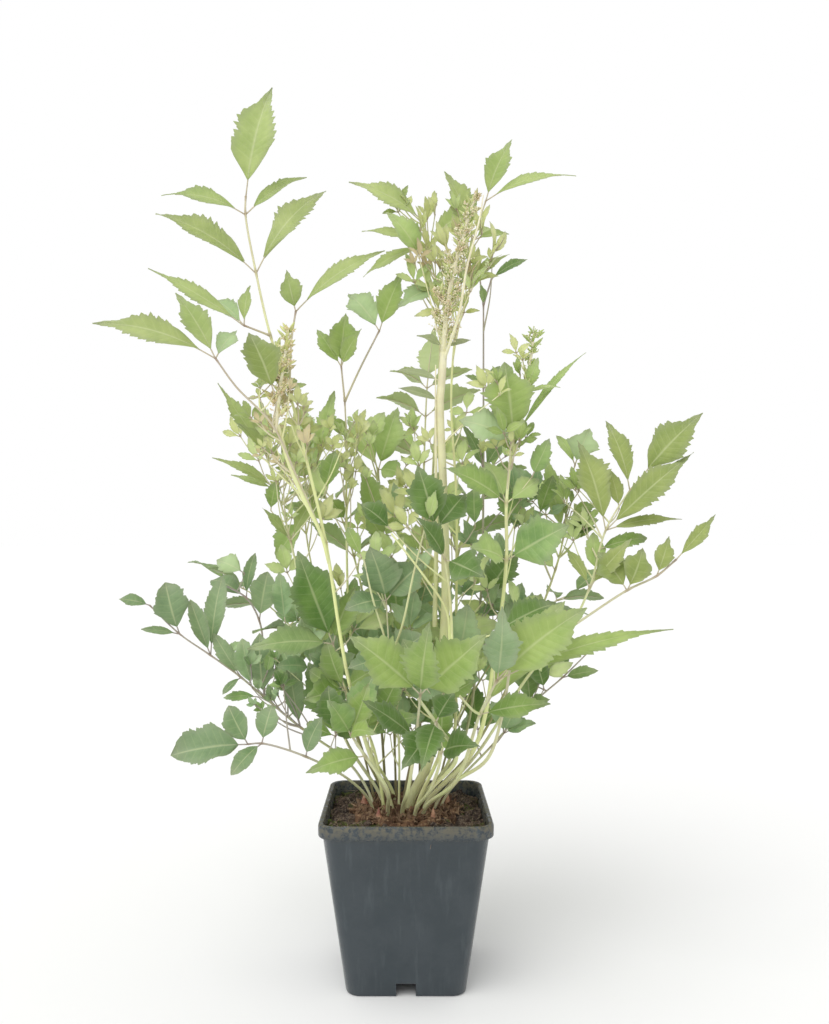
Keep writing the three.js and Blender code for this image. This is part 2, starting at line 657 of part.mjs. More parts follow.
// ---------------------------------------------------------------- flower heads
function growFlowerHead(spec) {
  const random = randomFrom(spec.seed);
  const axis = spec.axis.map((p) => new THREE.Vector3(...p));
  const curve = stemCurve(axis);
  const stems = [{ points: axis, foot: HEAD_FOOT, end: HEAD_END, sides: STEM_SIDES }];
  const sprays = [];
  for (let i = 0; i < spec.sprays; i++) {
    const t = 0.03 + (0.92 * i) / (spec.sprays - 1);
    const tangent = curve.getTangent(t);
    const radial = new THREE.Vector3(Math.cos(SPRAY_TURN * i), Math.sin(SPRAY_TURN * i), 0);
    const way = tangent.multiplyScalar(0.8).addScaledVector(radial, 0.6).normalize();
    const reach = spec.spread * (0.45 + 0.55 * Math.pow(1 - t, 0.7)) * (0.75 + 0.35 * random());
    const from = curve.getPoint(t);
    const tip = from.clone().addScaledVector(way, reach);
    sprays.push({ from, tip });
  }
  return { name: spec.name, stems, sprays };
}

// A spray of packed buds: a spindle, widest past its middle, with its foot in the head's axis.
function spraySolid({ from, tip }) {
  const reach = from.distanceTo(tip);
  const profile = [[0, 0], [SPRAY_RADIUS, 0.65], [0, 1]].map(([r, t]) => new THREE.Vector2(r, t * reach));
  const spindle = new THREE.LatheGeometry(profile, SPRAY_SIDES);
  const way = tip.clone().sub(from).normalize();
  spindle.applyQuaternion(new THREE.Quaternion().setFromUnitVectors(new THREE.Vector3(0, 1, 0), way));
  spindle.translate(from.x, from.y, from.z);
  return solidOf(spindle);
}

// ---------------------------------------------------------------- pot, peat and crown
function squareRing(half, radius, z) {
  const ring = [];
  for (let corner = 0; corner < 4; corner++) {
    const middle = THREE.MathUtils.degToRad(45 + 90 * corner);
    const centre = [Math.sign(Math.cos(middle)), Math.sign(Math.sin(middle))].map((v) => v * (half - radius));
    for (let i = 0; i <= CORNER_STEPS; i++) {
      const angle = THREE.MathUtils.degToRad(90 * corner + (90 * i) / CORNER_STEPS);
      const [x, y] = [centre[0] + radius * Math.cos(angle), centre[1] + radius * Math.sin(angle)];
      ring.push(new THREE.Vector3(x, y, z));
    }
  }
  return ring;
}

// A solid through rounded squares, each [half width, corner radius, height], from the bottom up.
function squareLoft(levels) {
  const rings = levels.map(([half, radius, z]) => squareRing(half, radius, z));
  const size = rings[0].length;
  const triangles = [];
  for (let k = 0; k < rings.length - 1; k++) {
    for (let i = 0; i < size; i++) {
      const [a, b] = [k * size + i, k * size + ((i + 1) % size)];
      triangles.push(a, b, b + size, a, b + size, a + size);
    }
  }
  const top = (rings.length - 1) * size;
  for (let i = 1; i < size - 1; i++) {
    triangles.push(0, i + 1, i, top, top + i, top + i + 1);
  }
  return solidOf(triangleMesh(rings.flat(), triangles));
}

function boxSolid(width, depth, height, z) {
  const geometry = new THREE.BoxGeometry(width, depth, height);
  geometry.translate(0, 0, z + height / 2);
  return solidOf(geometry);
}

// Half width of the pot's outer wall at a height.
function wallHalf(z) {
  return BASE_HALF + ((BODY_HALF - BASE_HALF) * z) / (POT_HEIGHT - RIM_DEPTH);
}

// Two crossing channels under the base, which drain it and leave a foot in each corner.
function channels(grow) {
  const width = CHANNEL_WIDTH + 2 * grow;
  const height = CHANNEL_HEIGHT + grow + 1;
  const length = 3 * BODY_HALF;
  return boxSolid(length, width, height, -1).add(boxSolid(width, length, height, -1));
}

function potInside(gap, top) {
  return squareLoft([
    [wallHalf(WALL) - WALL - gap, CORNER_RADIUS - WALL, WALL + gap],
    [wallHalf(top) - WALL - gap, CORNER_RADIUS - WALL, top],
  ]);
}

function potSolid() {
  const lip = POT_HEIGHT - RIM_DEPTH;
  const outside = squareLoft([
    [wallHalf(0), CORNER_RADIUS, 0],
    [wallHalf(lip), CORNER_RADIUS, lip],
    [RIM_HALF, CORNER_RADIUS + RIM_ROLL, lip + RIM_ROLL],
    [RIM_HALF, CORNER_RADIUS + RIM_ROLL, POT_HEIGHT - RIM_ROLL],
    [RIM_HALF - RIM_ROLL, CORNER_RADIUS, POT_HEIGHT],
  ]);
  let pot = outside.subtract(potInside(0, POT_HEIGHT + 5).subtract(channels(WALL))).subtract(channels(0));
  for (const [sx, sy] of [[1, 1], [-1, 1], [-1, -1], [1, -1]]) {
    const hole = new THREE.CylinderGeometry(DRAIN_RADIUS, DRAIN_RADIUS, 4 * WALL, DRAIN_SIDES);
    hole.rotateX(Math.PI / 2);
    hole.translate(sx * DRAIN_OFFSET, sy * DRAIN_OFFSET, 0);
    pot = pot.subtract(solidOf(hole));
  }
  return pot;
}

function groundBump(x, y) {
  return Math.sin(0.31 * x + 1.3) * Math.cos(0.27 * y - 0.4) + 0.6 * Math.sin(0.53 * y + 0.21 * x)
    + 0.4 * Math.cos(0.74 * x - 0.45 * y);
}

// The peat's uneven top: everything above this surface is cut from the fill.
function aboveGround() {
  const half = BODY_HALF + 4;
  const slab = new THREE.BoxGeometry(2 * half, 2 * half, POT_HEIGHT, SOIL_CELLS, SOIL_CELLS, 1);
  const position = slab.attributes.position;
  for (let i = 0; i < position.count; i++) {
    const [x, y, z] = [position.getX(i), position.getY(i), position.getZ(i)];
    const bump = z < 0 ? SOIL_BUMP * groundBump(x, y) : 0;
    position.setZ(i, z + POT_HEIGHT / 2 + SOIL_LEVEL - SOIL_DIP + bump);
  }
  return solidOf(slab);
}

// The woody crown: a flat-topped mound, tapering into the peat, with a few stout buds round its shoulder.
function crownSolid(swell) {
  const profile = [
    [0, -CROWN_SINK - swell],
    [0.75 * CROWN_RADIUS + swell, -0.8 * CROWN_SINK - swell],
    [CROWN_RADIUS + swell, -2],
    [0.96 * CROWN_RADIUS + swell, 0.6 * CROWN_RISE + swell],
    [0.9 * CROWN_RADIUS, CROWN_RISE + swell],
    [0, CROWN_RISE + swell],
  ];
  const mound = new THREE.LatheGeometry(profile.map(([r, z]) => new THREE.Vector2(r, z)), CROWN_SIDES);
  mound.rotateX(Math.PI / 2);
  mound.translate(0, 0, SOIL_LEVEL - 1);
  return solidOf(mound);
}

function crownBud(index) {
  const angle = THREE.MathUtils.degToRad(FIRST_BUD + (360 * index) / CROWN_BUDS);
  const bud = new THREE.ConeGeometry(BUD_RADIUS, BUD_HEIGHT, BUD_SIDES);
  bud.rotateX(Math.PI / 2);
  bud.translate(BUD_CIRCLE * Math.cos(angle), BUD_CIRCLE * Math.sin(angle), SOIL_LEVEL + CROWN_RISE + 1);
  return solidOf(bud);
}

// ---------------------------------------------------------------- assembly
const fronds = [...FRONDS.map(growFrond), ...BACK_FRONDS.map(growBackFrond)];
const flowerHeads = FLOWER_HEADS.map(growFlowerHead);

// Stems and sprays take their room first, and the leaflets then settle between them.
for (const { name, stems, sprays = [] } of [...fronds, ...flowerHeads]) {
  for (const stem of stems) stemSamples(stem).forEach((p) => occupy(p, stem.foot, name));
  for (const { from, tip } of sprays) {
    for (const t of [0.4, 0.7, 1]) occupy(from.clone().lerp(tip, t), SPRAY_RADIUS, name);
  }
}

const plant = new THREE.Group();
plant.name = 'astilbe_in_pot';

function addNode(name, solid, colour, roughness) {
  const material = new THREE.MeshStandardMaterial({ color: colour, roughness, metalness: 0 });
  const mesh = new THREE.Mesh(geometryOf(solid), material);
  mesh.name = name;
  plant.add(mesh);
}

const feet = fuse(fronds.map(({ stems }) => holeSolid(stems[0])));
const peat = potInside(CLEARANCE, SOIL_LEVEL + 6).subtract(channels(WALL + CLEARANCE)).subtract(aboveGround());

addNode('pot', potSolid(), POT_COLOUR, 0.6);
addNode('peat', peat.subtract(crownSolid(CLEARANCE)), PEAT_COLOUR, 0.95);
const crownBuds = Array.from({ length: CROWN_BUDS }, (_, i) => crownBud(i));
addNode('crown', fuse([crownSolid(0), ...crownBuds]).subtract(feet), CROWN_COLOUR, 0.85);
for (const frond of fronds) {
  const blades = settleLeaflets(frond).map(leafletSolid);
  addNode('frond_' + frond.name, fuse([...frond.stems.map((stem) => stemSolid(stem)), ...blades]),
    frond.tone.colour, 0.6);
}
for (const head of flowerHeads) {
  addNode(head.name, fuse([...head.stems.map((stem) => stemSolid(stem)), ...head.sprays.map(spraySolid)]),
    HEAD_COLOUR, 0.7);
}

export default plant;
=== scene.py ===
import math

import bpy
import numpy as np
from mathutils import Matrix, Vector, noise


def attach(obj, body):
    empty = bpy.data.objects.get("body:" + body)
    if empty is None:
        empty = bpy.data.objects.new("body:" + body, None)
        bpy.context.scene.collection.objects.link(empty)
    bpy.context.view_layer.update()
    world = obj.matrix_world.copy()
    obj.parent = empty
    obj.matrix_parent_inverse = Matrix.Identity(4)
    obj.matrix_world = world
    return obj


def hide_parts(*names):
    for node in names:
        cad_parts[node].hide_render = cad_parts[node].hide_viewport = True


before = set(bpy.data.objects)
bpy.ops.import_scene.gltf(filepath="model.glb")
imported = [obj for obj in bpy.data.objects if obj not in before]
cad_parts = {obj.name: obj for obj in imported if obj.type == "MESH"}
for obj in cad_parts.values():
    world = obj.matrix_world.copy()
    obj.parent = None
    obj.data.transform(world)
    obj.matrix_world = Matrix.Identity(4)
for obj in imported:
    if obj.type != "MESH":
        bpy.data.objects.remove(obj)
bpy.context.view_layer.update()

# ---------------------------------------------------------------- studio
# A white table top under a white sky, one broad soft light from the upper left in front, and a camera level
# with the middle of the foliage.
TABLE_WIDTH = 80.0
SKY_GLOW = 0.76
SUN_POWER = 1.4
SUN_SPREAD = 50.0
SUN_FROM = (-0.55, -0.75, 1.3)
CAMERA_PLACE = (0.0, -0.514, 0.245)
CAMERA_LENS = 31.64
SHIFT_RIGHT = 8.5 / 1024
SHIFT_UP = 27.0 / 1024

bpy.ops.mesh.primitive_plane_add(size=TABLE_WIDTH, location=(0, 0, 0))
table_top = bpy.context.object
table_top.name = "table_top"
white_board = bpy.data.materials.new("white_board")
white_board.use_nodes = True
board = white_board.node_tree.nodes["Principled BSDF"]
board.inputs["Base Color"].default_value = (0.93, 0.93, 0.92, 1)
board.inputs["Roughness"].default_value = 0.9
table_top.data.materials.append(white_board)

sky = bpy.data.worlds.new("white_sky")
sky.use_nodes = True
sky_tree = sky.node_tree
glow = sky_tree.nodes["Background"]
glow.inputs["Color"].default_value = (1.0, 1.0, 1.0, 1)
seen = sky_tree.nodes.new("ShaderNodeLightPath")
strength = sky_tree.nodes.new("ShaderNodeMapRange")
strength.inputs["To Min"].default_value = SKY_GLOW
strength.inputs["To Max"].default_value = 1.0
sky_tree.links.new(seen.outputs["Is Camera Ray"], strength.inputs["Value"])
sky_tree.links.new(strength.outputs["Result"], glow.inputs["Strength"])
bpy.context.scene.world = sky
bpy.context.scene.view_settings.view_transform = "Standard"

sun = bpy.data.lights.new("window_light", "SUN")
sun.energy = SUN_POWER
sun.angle = math.radians(SUN_SPREAD)
window_light = bpy.data.objects.new("window_light", sun)
window_light.rotation_euler = Vector(SUN_FROM).to_track_quat("Z", "Y").to_euler()
bpy.context.scene.collection.objects.link(window_light)

lens = bpy.data.cameras.new("camera")
lens.lens = CAMERA_LENS
lens.sensor_width = 36
lens.shift_x = SHIFT_RIGHT
lens.shift_y = SHIFT_UP
lens.clip_start = 0.05
lens.clip_end = 30
camera = bpy.data.objects.new("camera", lens)
camera.location = CAMERA_PLACE
camera.rotation_euler = (math.pi / 2, 0, 0)
bpy.context.scene.collection.objects.link(camera)
bpy.context.scene.camera = camera

# ---------------------------------------------------------------- pot
# A square nursery pot, moulded in one piece of thin charcoal plastic: tapered walls, a rolled rim, a floor on
# four flat feet with two crossing channels between them, and a drain hole in each foot's floor.
MM = 0.001
POT_HEIGHT = 95.0
RIM_HALF = 46.5
BODY_HALF = 44.2
BASE_HALF = 32.5
RIM_DEPTH = 7.0
WALL = 1.4
CORNER_RADIUS = 8.0
CORNER_STEPS = 9
CHANNEL_WIDTH = 10.5
CHANNEL_HEIGHT = 7.5
PAST_THE_POT = 60.0
DRAIN_RADIUS = 3.5
DRAIN_OFFSET = 14.0
SHARP_EDGE = 38.0


def new_piece(name, points, faces, smooth=True):
    """A mesh object from points in millimetres and faces as rows of point numbers."""
    mesh = bpy.data.meshes.new(name)
    mesh.from_pydata([tuple(MM * c for c in p) for p in points], [], [tuple(int(i) for i in f) for f in faces])
    if smooth:
        mesh.shade_smooth()
    piece = bpy.data.objects.new(name, mesh)
    bpy.context.scene.collection.objects.link(piece)
    return piece


def as_plain_mesh(piece):
    """Turns the piece's modifiers into its mesh."""
    graph = bpy.context.evaluated_depsgraph_get()
    made = bpy.data.meshes.new_from_object(piece.evaluated_get(graph))
    piece.modifiers.clear()
    made.name = piece.name
    piece.data = made
    return piece


def drop(piece):
    bpy.data.objects.remove(piece)


def ring_faces(rings, count, first=0):
    """The faces of a closed tube through rings of points, the first of them numbered from first."""
    faces = []
    for k in range(rings - 1):
        for i in range(count):
            a, b = first + k * count + i, first + k * count + (i + 1) % count
            faces.append((a, b, b + count, a + count))
    last = first + (rings - 1) * count
    return faces + [tuple(reversed(range(first, first + count))), tuple(range(last, last + count))]


def wall_half(z):
    return BASE_HALF + (BODY_HALF - BASE_HALF) * z / (POT_HEIGHT - RIM_DEPTH)


def square_ring(half, radius, z):
    ring = []
    for corner in range(4):
        middle = math.radians(45 + 90 * corner)
        cx = math.copysign(half - radius, math.cos(middle))
        cy = math.copysign(half - radius, math.sin(middle))
        for i in range(CORNER_STEPS + 1):
            angle = math.radians(90 * corner + 90 * i / CORNER_STEPS)
            ring.append((cx + radius * math.cos(angle), cy + radius * math.sin(angle), z))
    return ring


def carve(piece, tool, operation):
    cut = piece.modifiers.new("cut", "BOOLEAN")
    cut.operation, cut.solver, cut.object = operation, "EXACT", tool
    as_plain_mesh(piece)
    drop(tool)


def carve_cross(piece, name, length, half_width, bottom, top, operation):
    """Joins two crossing bars to the piece, or cuts them out of it."""
    faces = [(0, 2, 3, 1), (4, 5, 7, 6), (0, 1, 5, 4), (2, 6, 7, 3), (0, 4, 6, 2), (1, 3, 7, 5)]
    for x, y in ((length, half_width), (half_width, length)):
        corners = [(sx * x, sy * y, z) for z in (bottom, top) for sy in (-1, 1) for sx in (-1, 1)]
        carve(piece, new_piece(name, corners, faces, smooth=False), operation)


lip = POT_HEIGHT - RIM_DEPTH
inner_top = wall_half(POT_HEIGHT) - WALL
# From the outside of the base over the rim to the floor inside: half width, corner radius and height.
pot_levels = [
    (BASE_HALF - 1.2, CORNER_RADIUS - 1.2, 0), (wall_half(0.4) - 0.3, CORNER_RADIUS - 0.3, 0.4),
    (wall_half(1.3), CORNER_RADIUS, 1.3), (wall_half(30), CORNER_RADIUS, 30), (wall_half(60), CORNER_RADIUS, 60),
    (wall_half(lip - 0.8), CORNER_RADIUS, lip - 0.8), (wall_half(lip) + 0.35, CORNER_RADIUS + 0.3, lip - 0.25),
    (RIM_HALF - 0.9, CORNER_RADIUS + 1, lip), (RIM_HALF - 0.25, CORNER_RADIUS + 1, lip + 0.25),
    (RIM_HALF, CORNER_RADIUS + 1, lip + 0.9), (RIM_HALF, CORNER_RADIUS + 1, POT_HEIGHT - 1.3),
    (RIM_HALF - 0.2, CORNER_RADIUS + 0.8, POT_HEIGHT - 0.5), (RIM_HALF - 0.8, CORNER_RADIUS + 0.4, POT_HEIGHT),
    (inner_top + 0.9, CORNER_RADIUS - 0.6, POT_HEIGHT), (inner_top + 0.3, CORNER_RADIUS - 1, POT_HEIGHT - 0.4),
    (inner_top, CORNER_RADIUS - WALL, POT_HEIGHT - 1.2), (wall_half(60) - WALL, CORNER_RADIUS - WALL, 60),
    (wall_half(WALL) - WALL, CORNER_RADIUS - WALL, WALL)]
pot = new_piece("pot_moulding", [p for level in pot_levels for p in square_ring(*level)],
                ring_faces(len(pot_levels), 4 * (CORNER_STEPS + 1)))
half_channel = CHANNEL_WIDTH / 2
channel_roof = CHANNEL_HEIGHT + WALL
carve_cross(pot, "channel_cover", BASE_HALF - 0.1, half_channel + WALL, 0.6, channel_roof, "UNION")
carve_cross(pot, "channel_space", PAST_THE_POT, half_channel, -1, CHANNEL_HEIGHT, "DIFFERENCE")
for sx, sy in ((1, 1), (-1, 1), (-1, -1), (1, -1)):
    bpy.ops.mesh.primitive_cylinder_add(vertices=32, radius=DRAIN_RADIUS * MM, depth=5 * WALL * MM)
    drill = bpy.context.object
    drill.data.transform(Matrix.Translation((sx * DRAIN_OFFSET * MM, sy * DRAIN_OFFSET * MM, 0)))
    carve(pot, drill, "DIFFERENCE")
pot.data.shade_smooth()
pot.data.set_sharp_from_angle(angle=math.radians(SHARP_EDGE))


def set_inputs(tree, node, inputs):
    """Gives each named input of a node its value, or the output that feeds it."""
    for name, value in inputs.items():
        if isinstance(value, bpy.types.NodeSocket):
            tree.links.new(value, node.inputs[name])
        else:
            node.inputs[name].default_value = value


def add_node(tree, kind, inputs=None, **settings):
    """A node of that kind with its inputs and plain settings. Nodes stand in rows, in the order they are made."""
    node = tree.nodes.new(kind)
    row, column = divmod(len(tree.nodes), 8)
    node.location = (240 * column, -320 * row)
    for name, value in settings.items():
        setattr(node, name, value)
    set_inputs(tree, node, inputs or {})
    return node


def new_group(name, kind, inputs, outputs):
    """An empty node group whose inputs and outputs have these names and kinds."""
    group = bpy.data.node_groups.new(name, kind)
    for way, sockets in (("INPUT", inputs), ("OUTPUT", outputs)):
        for socket, sort in sockets.items():
            group.interface.new_socket(socket, in_out=way, socket_type="NodeSocket" + sort)
    return group


def colour_mix(tree, mask, first, second):
    return add_node(tree, "ShaderNodeMix", {0: mask, 6: first, 7: second}, data_type="RGBA").outputs[2]


def sum_up(tree, operation, first, second):
    return add_node(tree, "ShaderNodeMath", {0: first, 1: second}, operation=operation).outputs[0]


def part_of(tree, value, share):
    return sum_up(tree, "MULTIPLY", value, share)


def band(tree, value, low, high):
    """1 above high and 0 below low, or the other way round where high is the smaller."""
    limits = {"From Min": min(low, high), "From Max": max(low, high), "To Min": float(low > high),
              "To Max": float(low < high)}
    edge = add_node(tree, "ShaderNodeMapRange", {"Value": value, **limits}, interpolation_type="SMOOTHSTEP")
    return edge.outputs["Result"]


def bump_from(tree, height, strength, distance):
    bump = add_node(tree, "ShaderNodeBump", {"Height": height, "Strength": strength, "Distance": distance})
    return bump.outputs["Normal"]


def patches_group():
    """Soft-edged patches over the surface: a mask that is 1 inside them. Share moves their edge."""
    group = new_group("patches", "ShaderNodeTree",
                      dict.fromkeys(("Scale", "Share", "Softness", "Detail"), "Float"), {"Mask": "Float"})
    start = add_node(group, "NodeGroupInput").outputs
    cloud = add_node(group, "ShaderNodeTexNoise", {
        "Vector": add_node(group, "ShaderNodeTexCoord").outputs["Object"], "Scale": start["Scale"],
        "Detail": start["Detail"], "Roughness": 0.62})
    edge = add_node(group, "ShaderNodeMapRange", {
        "Value": cloud.outputs["Fac"], "From Min": sum_up(group, "SUBTRACT", start["Share"], start["Softness"]),
        "From Max": sum_up(group, "ADD", start["Share"], start["Softness"])}, interpolation_type="SMOOTHSTEP")
    add_node(group, "NodeGroupOutput", {"Mask": edge.outputs["Result"]})
    return group


def grain_group():
    """Cloudy grain over the piece, drawn out into upright streaks where Upright is small."""
    group = new_group("grain", "ShaderNodeTree", dict.fromkeys(("Scale", "Detail", "Upright"), "Float"),
                      {"Value": "Float"})
    start = add_node(group, "NodeGroupInput").outputs
    drawn = add_node(group, "ShaderNodeMapping", {
        "Vector": add_node(group, "ShaderNodeTexCoord").outputs["Object"],
        "Scale": add_node(group, "ShaderNodeCombineXYZ", {"X": 1, "Y": 1, "Z": start["Upright"]}).outputs[0]})
    cloud = add_node(group, "ShaderNodeTexNoise", {
        "Vector": drawn.outputs[0], "Scale": start["Scale"], "Detail": start["Detail"]})
    add_node(group, "NodeGroupOutput", {"Value": cloud.outputs["Fac"]})
    return group


PATCHES, GRAIN = patches_group(), grain_group()


def place_patches(tree, scale, share, softness, detail=4.0):
    return add_node(tree, "ShaderNodeGroup", {"Scale": scale, "Share": share, "Softness": softness, "Detail": detail},
                    node_tree=PATCHES).outputs["Mask"]


def place_grain(tree, scale, detail, upright=1.0):
    return add_node(tree, "ShaderNodeGroup", {"Scale": scale, "Detail": detail, "Upright": upright},
                    node_tree=GRAIN).outputs["Value"]


def srgb(red, green, blue):
    """A colour in the 0 to 255 of a paint chart, as the shader needs it."""
    linear = [((c / 255 + 0.055) / 1.055) ** 2.4 if c > 10 else c / 255 / 12.92 for c in (red, green, blue)]
    return (*linear, 1.0)


def new_material(name, roughness, **sockets):
    material = bpy.data.materials.new(name)
    material.use_nodes = True
    tree, shader = material.node_tree, material.node_tree.nodes["Principled BSDF"]
    set_inputs(tree, shader, {"Roughness": roughness, **{k.replace("_", " "): v for k, v in sockets.items()}})
    return material, tree, shader


def pot_plastic():
    """Charcoal plastic, faintly mottled and streaked down its sides, with peat dust on and under the rim."""
    material, tree, shader = new_material("pot_plastic", 0.5, Specular_IOR_Level=0.45)
    charcoal = colour_mix(tree, place_patches(tree, 45, 0.5, 0.16), srgb(52, 61, 66), srgb(59, 67, 72))
    streak = part_of(tree, band(tree, place_grain(tree, 260, 3, 0.06), 0.52, 0.75), 0.14)
    streaked = colour_mix(tree, streak, charcoal, srgb(104, 114, 118))
    place = add_node(tree, "ShaderNodeTexCoord").outputs["Object"]
    height = add_node(tree, "ShaderNodeSeparateXYZ", {0: place}).outputs["Z"]
    dusted = part_of(tree, band(tree, height, 0.085, 0.0955), place_patches(tree, 420, 0.5, 0.1, 6))
    dust = part_of(tree, dusted, 0.55)
    grain = sum_up(tree, "ADD", place_grain(tree, 900, 4), dusted)
    set_inputs(tree, shader, {"Base Color": colour_mix(tree, dust, streaked, srgb(140, 132, 108)),
                              "Roughness": band(tree, dusted, -0.6, 1.4),
                              "Normal": bump_from(tree, grain, 0.25, 0.0003)})
    return material


pot.data.materials.clear()
pot.data.materials.append(pot_plastic())
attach(pot, "root")
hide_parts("pot")

# ---------------------------------------------------------------- peat
# The fill of the pot: coarse brown peat, settled a little below the rim and rooted through, its top a litter
# of crumbs, pale fibres and a few tufts of moss.
SOIL_LEVEL = 89.0
SOIL_BUMP = 1.6
SOIL_DIP = 1.5
CLEARANCE = 0.3
RING_POINTS = 264
SOIL_RINGS = 52
BARE_MIDDLE = 26.0


def noise_at(x, y, z, size, octaves=4):
    """Cloudy noise from about -1 to 1 whose larger lumps are that size in millimetres."""
    return noise.fractal(Vector((x / size, y / size, z / size)), 0.9, 2.1, octaves, noise_basis="PERLIN_ORIGINAL")


def rounded_square_reach(angle, half, radius):
    """How far a ray from the centre runs before it leaves a rounded square."""
    dx, dy = math.cos(angle), math.sin(angle)
    reach = half / max(abs(dx), abs(dy))
    if min(abs(dx), abs(dy)) * reach > half - radius:
        along = (half - radius) * (abs(dx) + abs(dy))
        reach = along + math.sqrt(along ** 2 - 2 * (half - radius) ** 2 + radius ** 2)
    return reach


def ground_bump(x, y):
    return (math.sin(0.31 * x + 1.3) * math.cos(0.27 * y - 0.4) + 0.6 * math.sin(0.53 * y + 0.21 * x)
            + 0.4 * math.cos(0.74 * x - 0.45 * y))


def ground_height(x, y):
    crumbly = 1.5 * noise_at(x, y, 3, 7, 5) + 0.6 * abs(noise_at(x, y, 9, 2.6, 3))
    return SOIL_LEVEL - SOIL_DIP + SOIL_BUMP * ground_bump(x, y) + crumbly


def disc_faces(rings, count):
    """Faces of rings of points round a first centre point."""
    faces = [(0, 1 + i, 1 + (i + 1) % count) for i in range(count)]
    for k in range(rings - 1):
        for i in range(count):
            a, b = 1 + k * count + i, 1 + k * count + (i + 1) % count
            faces.append((a, a + count, b + count, b))
    return faces


soil_half = wall_half(SOIL_LEVEL) - WALL - CLEARANCE
angles = [2 * math.pi * i / RING_POINTS for i in range(RING_POINTS)]
reaches = [rounded_square_reach(angle, soil_half, CORNER_RADIUS - WALL) for angle in angles]
ground_points = [(0, 0, ground_height(0, 0))]
for k in range(1, SOIL_RINGS + 1):
    share = (k / SOIL_RINGS) ** 0.8
    for angle, reach in zip(angles, reaches):
        x, y = share * reach * math.cos(angle), share * reach * math.sin(angle)
        ground_points.append((x, y, ground_height(x, y)))
ground = new_piece("ground", ground_points, disc_faces(SOIL_RINGS, RING_POINTS))

peat_points = list(ground_points)
for z in (70, 40, WALL + CLEARANCE):
    taper = (wall_half(z) - WALL - CLEARANCE) / soil_half
    peat_points += [(taper * reach * math.cos(angle), taper * reach * math.sin(angle), z)
                    for angle, reach in zip(angles, reaches)]
peat_faces = disc_faces(SOIL_RINGS + 3, RING_POINTS)
peat_faces.append(tuple(reversed(range(len(peat_points) - RING_POINTS, len(peat_points)))))
peat = new_piece("peat_fill", peat_points, peat_faces)
carve_cross(peat, "channel_space", PAST_THE_POT, half_channel + WALL + CLEARANCE, -1, channel_roof + CLEARANCE,
            "DIFFERENCE")
peat.data.shade_smooth()


def peat_earth(name, dark, warm, pale):
    material, tree, shader = new_material(name, 0.93, Specular_IOR_Level=0.25)
    fine = place_patches(tree, 620, 0.56, 0.06, 3)
    earth = colour_mix(tree, place_patches(tree, 170, 0.5, 0.08, 5), dark, warm)
    flecked = part_of(tree, fine, 0.55)
    crumb = sum_up(tree, "ADD", fine, place_patches(tree, 1400, 0.5, 0.2, 4))
    set_inputs(tree, shader, {"Base Color": colour_mix(tree, flecked, earth, pale),
                              "Normal": bump_from(tree, crumb, 0.7, 0.0008)})
    return material


peat_skin = peat_earth("peat_earth", srgb(66, 56, 50), srgb(108, 92, 82), srgb(156, 140, 126))
crumb_skin = peat_earth("peat_crumb", srgb(84, 70, 62), srgb(130, 112, 98), srgb(172, 156, 138))
peat.data.materials.append(peat_skin)
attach(peat, "root")
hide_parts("peat")


def place_copies(group, points, rotation, scale):
    """The end of a group that sets copies of its Thing on points, all with the group's Skin."""
    start = add_node(group, "NodeGroupInput").outputs
    thing = add_node(group, "GeometryNodeObjectInfo", {"Object": start["Thing"]}).outputs["Geometry"]
    copies = add_node(group, "GeometryNodeInstanceOnPoints", {
        "Points": points, "Instance": thing, "Rotation": rotation, "Scale": scale}).outputs[0]
    real = add_node(group, "GeometryNodeRealizeInstances", {"Geometry": copies}).outputs[0]
    skin = add_node(group, "GeometryNodeSetMaterial", {"Geometry": real, "Material": start["Skin"]})
    add_node(group, "NodeGroupOutput", {"Pieces": skin.outputs["Geometry"]})
    return group


def scatter_group():
    """Copies of one thing over a surface, denser where its 'where' mark is high, each turned and sized at random."""
    group = new_group("scatter", "GeometryNodeTree", {
        "Ground": "Geometry", "Thing": "Object", "Skin": "Material", "Density": "Float", "Smallest": "Float",
        "Largest": "Float", "Tilt": "Float", "Seed": "Int"}, {"Pieces": "Geometry"})
    start = add_node(group, "NodeGroupInput").outputs
    seed, tilt = start["Seed"], start["Tilt"]
    where = add_node(group, "GeometryNodeInputNamedAttribute", {"Name": "where"}, data_type="FLOAT")
    density = part_of(group, where.outputs["Attribute"], start["Density"])
    spots = add_node(group, "GeometryNodeDistributePointsOnFaces",
                     {"Mesh": start["Ground"], "Density": density, "Seed": seed}).outputs
    back = part_of(group, tilt, -1)
    least = add_node(group, "ShaderNodeCombineXYZ", {"X": back, "Y": back, "Z": -math.pi}).outputs[0]
    most = add_node(group, "ShaderNodeCombineXYZ", {"X": tilt, "Y": tilt, "Z": math.pi}).outputs[0]
    turn = add_node(group, "FunctionNodeRandomValue", {"Min": least, "Max": most, "Seed": seed},
                    data_type="FLOAT_VECTOR").outputs["Value"]
    size = add_node(group, "FunctionNodeRandomValue", {2: start["Smallest"], 3: start["Largest"], "Seed": seed},
                    data_type="FLOAT").outputs[1]
    lean = add_node(group, "FunctionNodeRotateRotation", {"Rotation": spots["Rotation"], "Rotate By": turn},
                    rotation_space="LOCAL").outputs["Rotation"]
    return place_copies(group, spots["Points"], lean, size)


SCATTER = scatter_group()


def run_nodes(piece, group, settings):
    """Gives the piece the node group with its named inputs, and turns what it makes into the piece's mesh."""
    names = {item.name: item.identifier for item in group.interface.items_tree if item.in_out == "INPUT"}
    grow = piece.modifiers.new("grow", "NODES")
    for name, value in settings.items():
        grow[names[name]] = value
    grow.node_group = group
    for name, value in settings.items():
        grow[names[name]] = value
    return as_plain_mesh(piece)


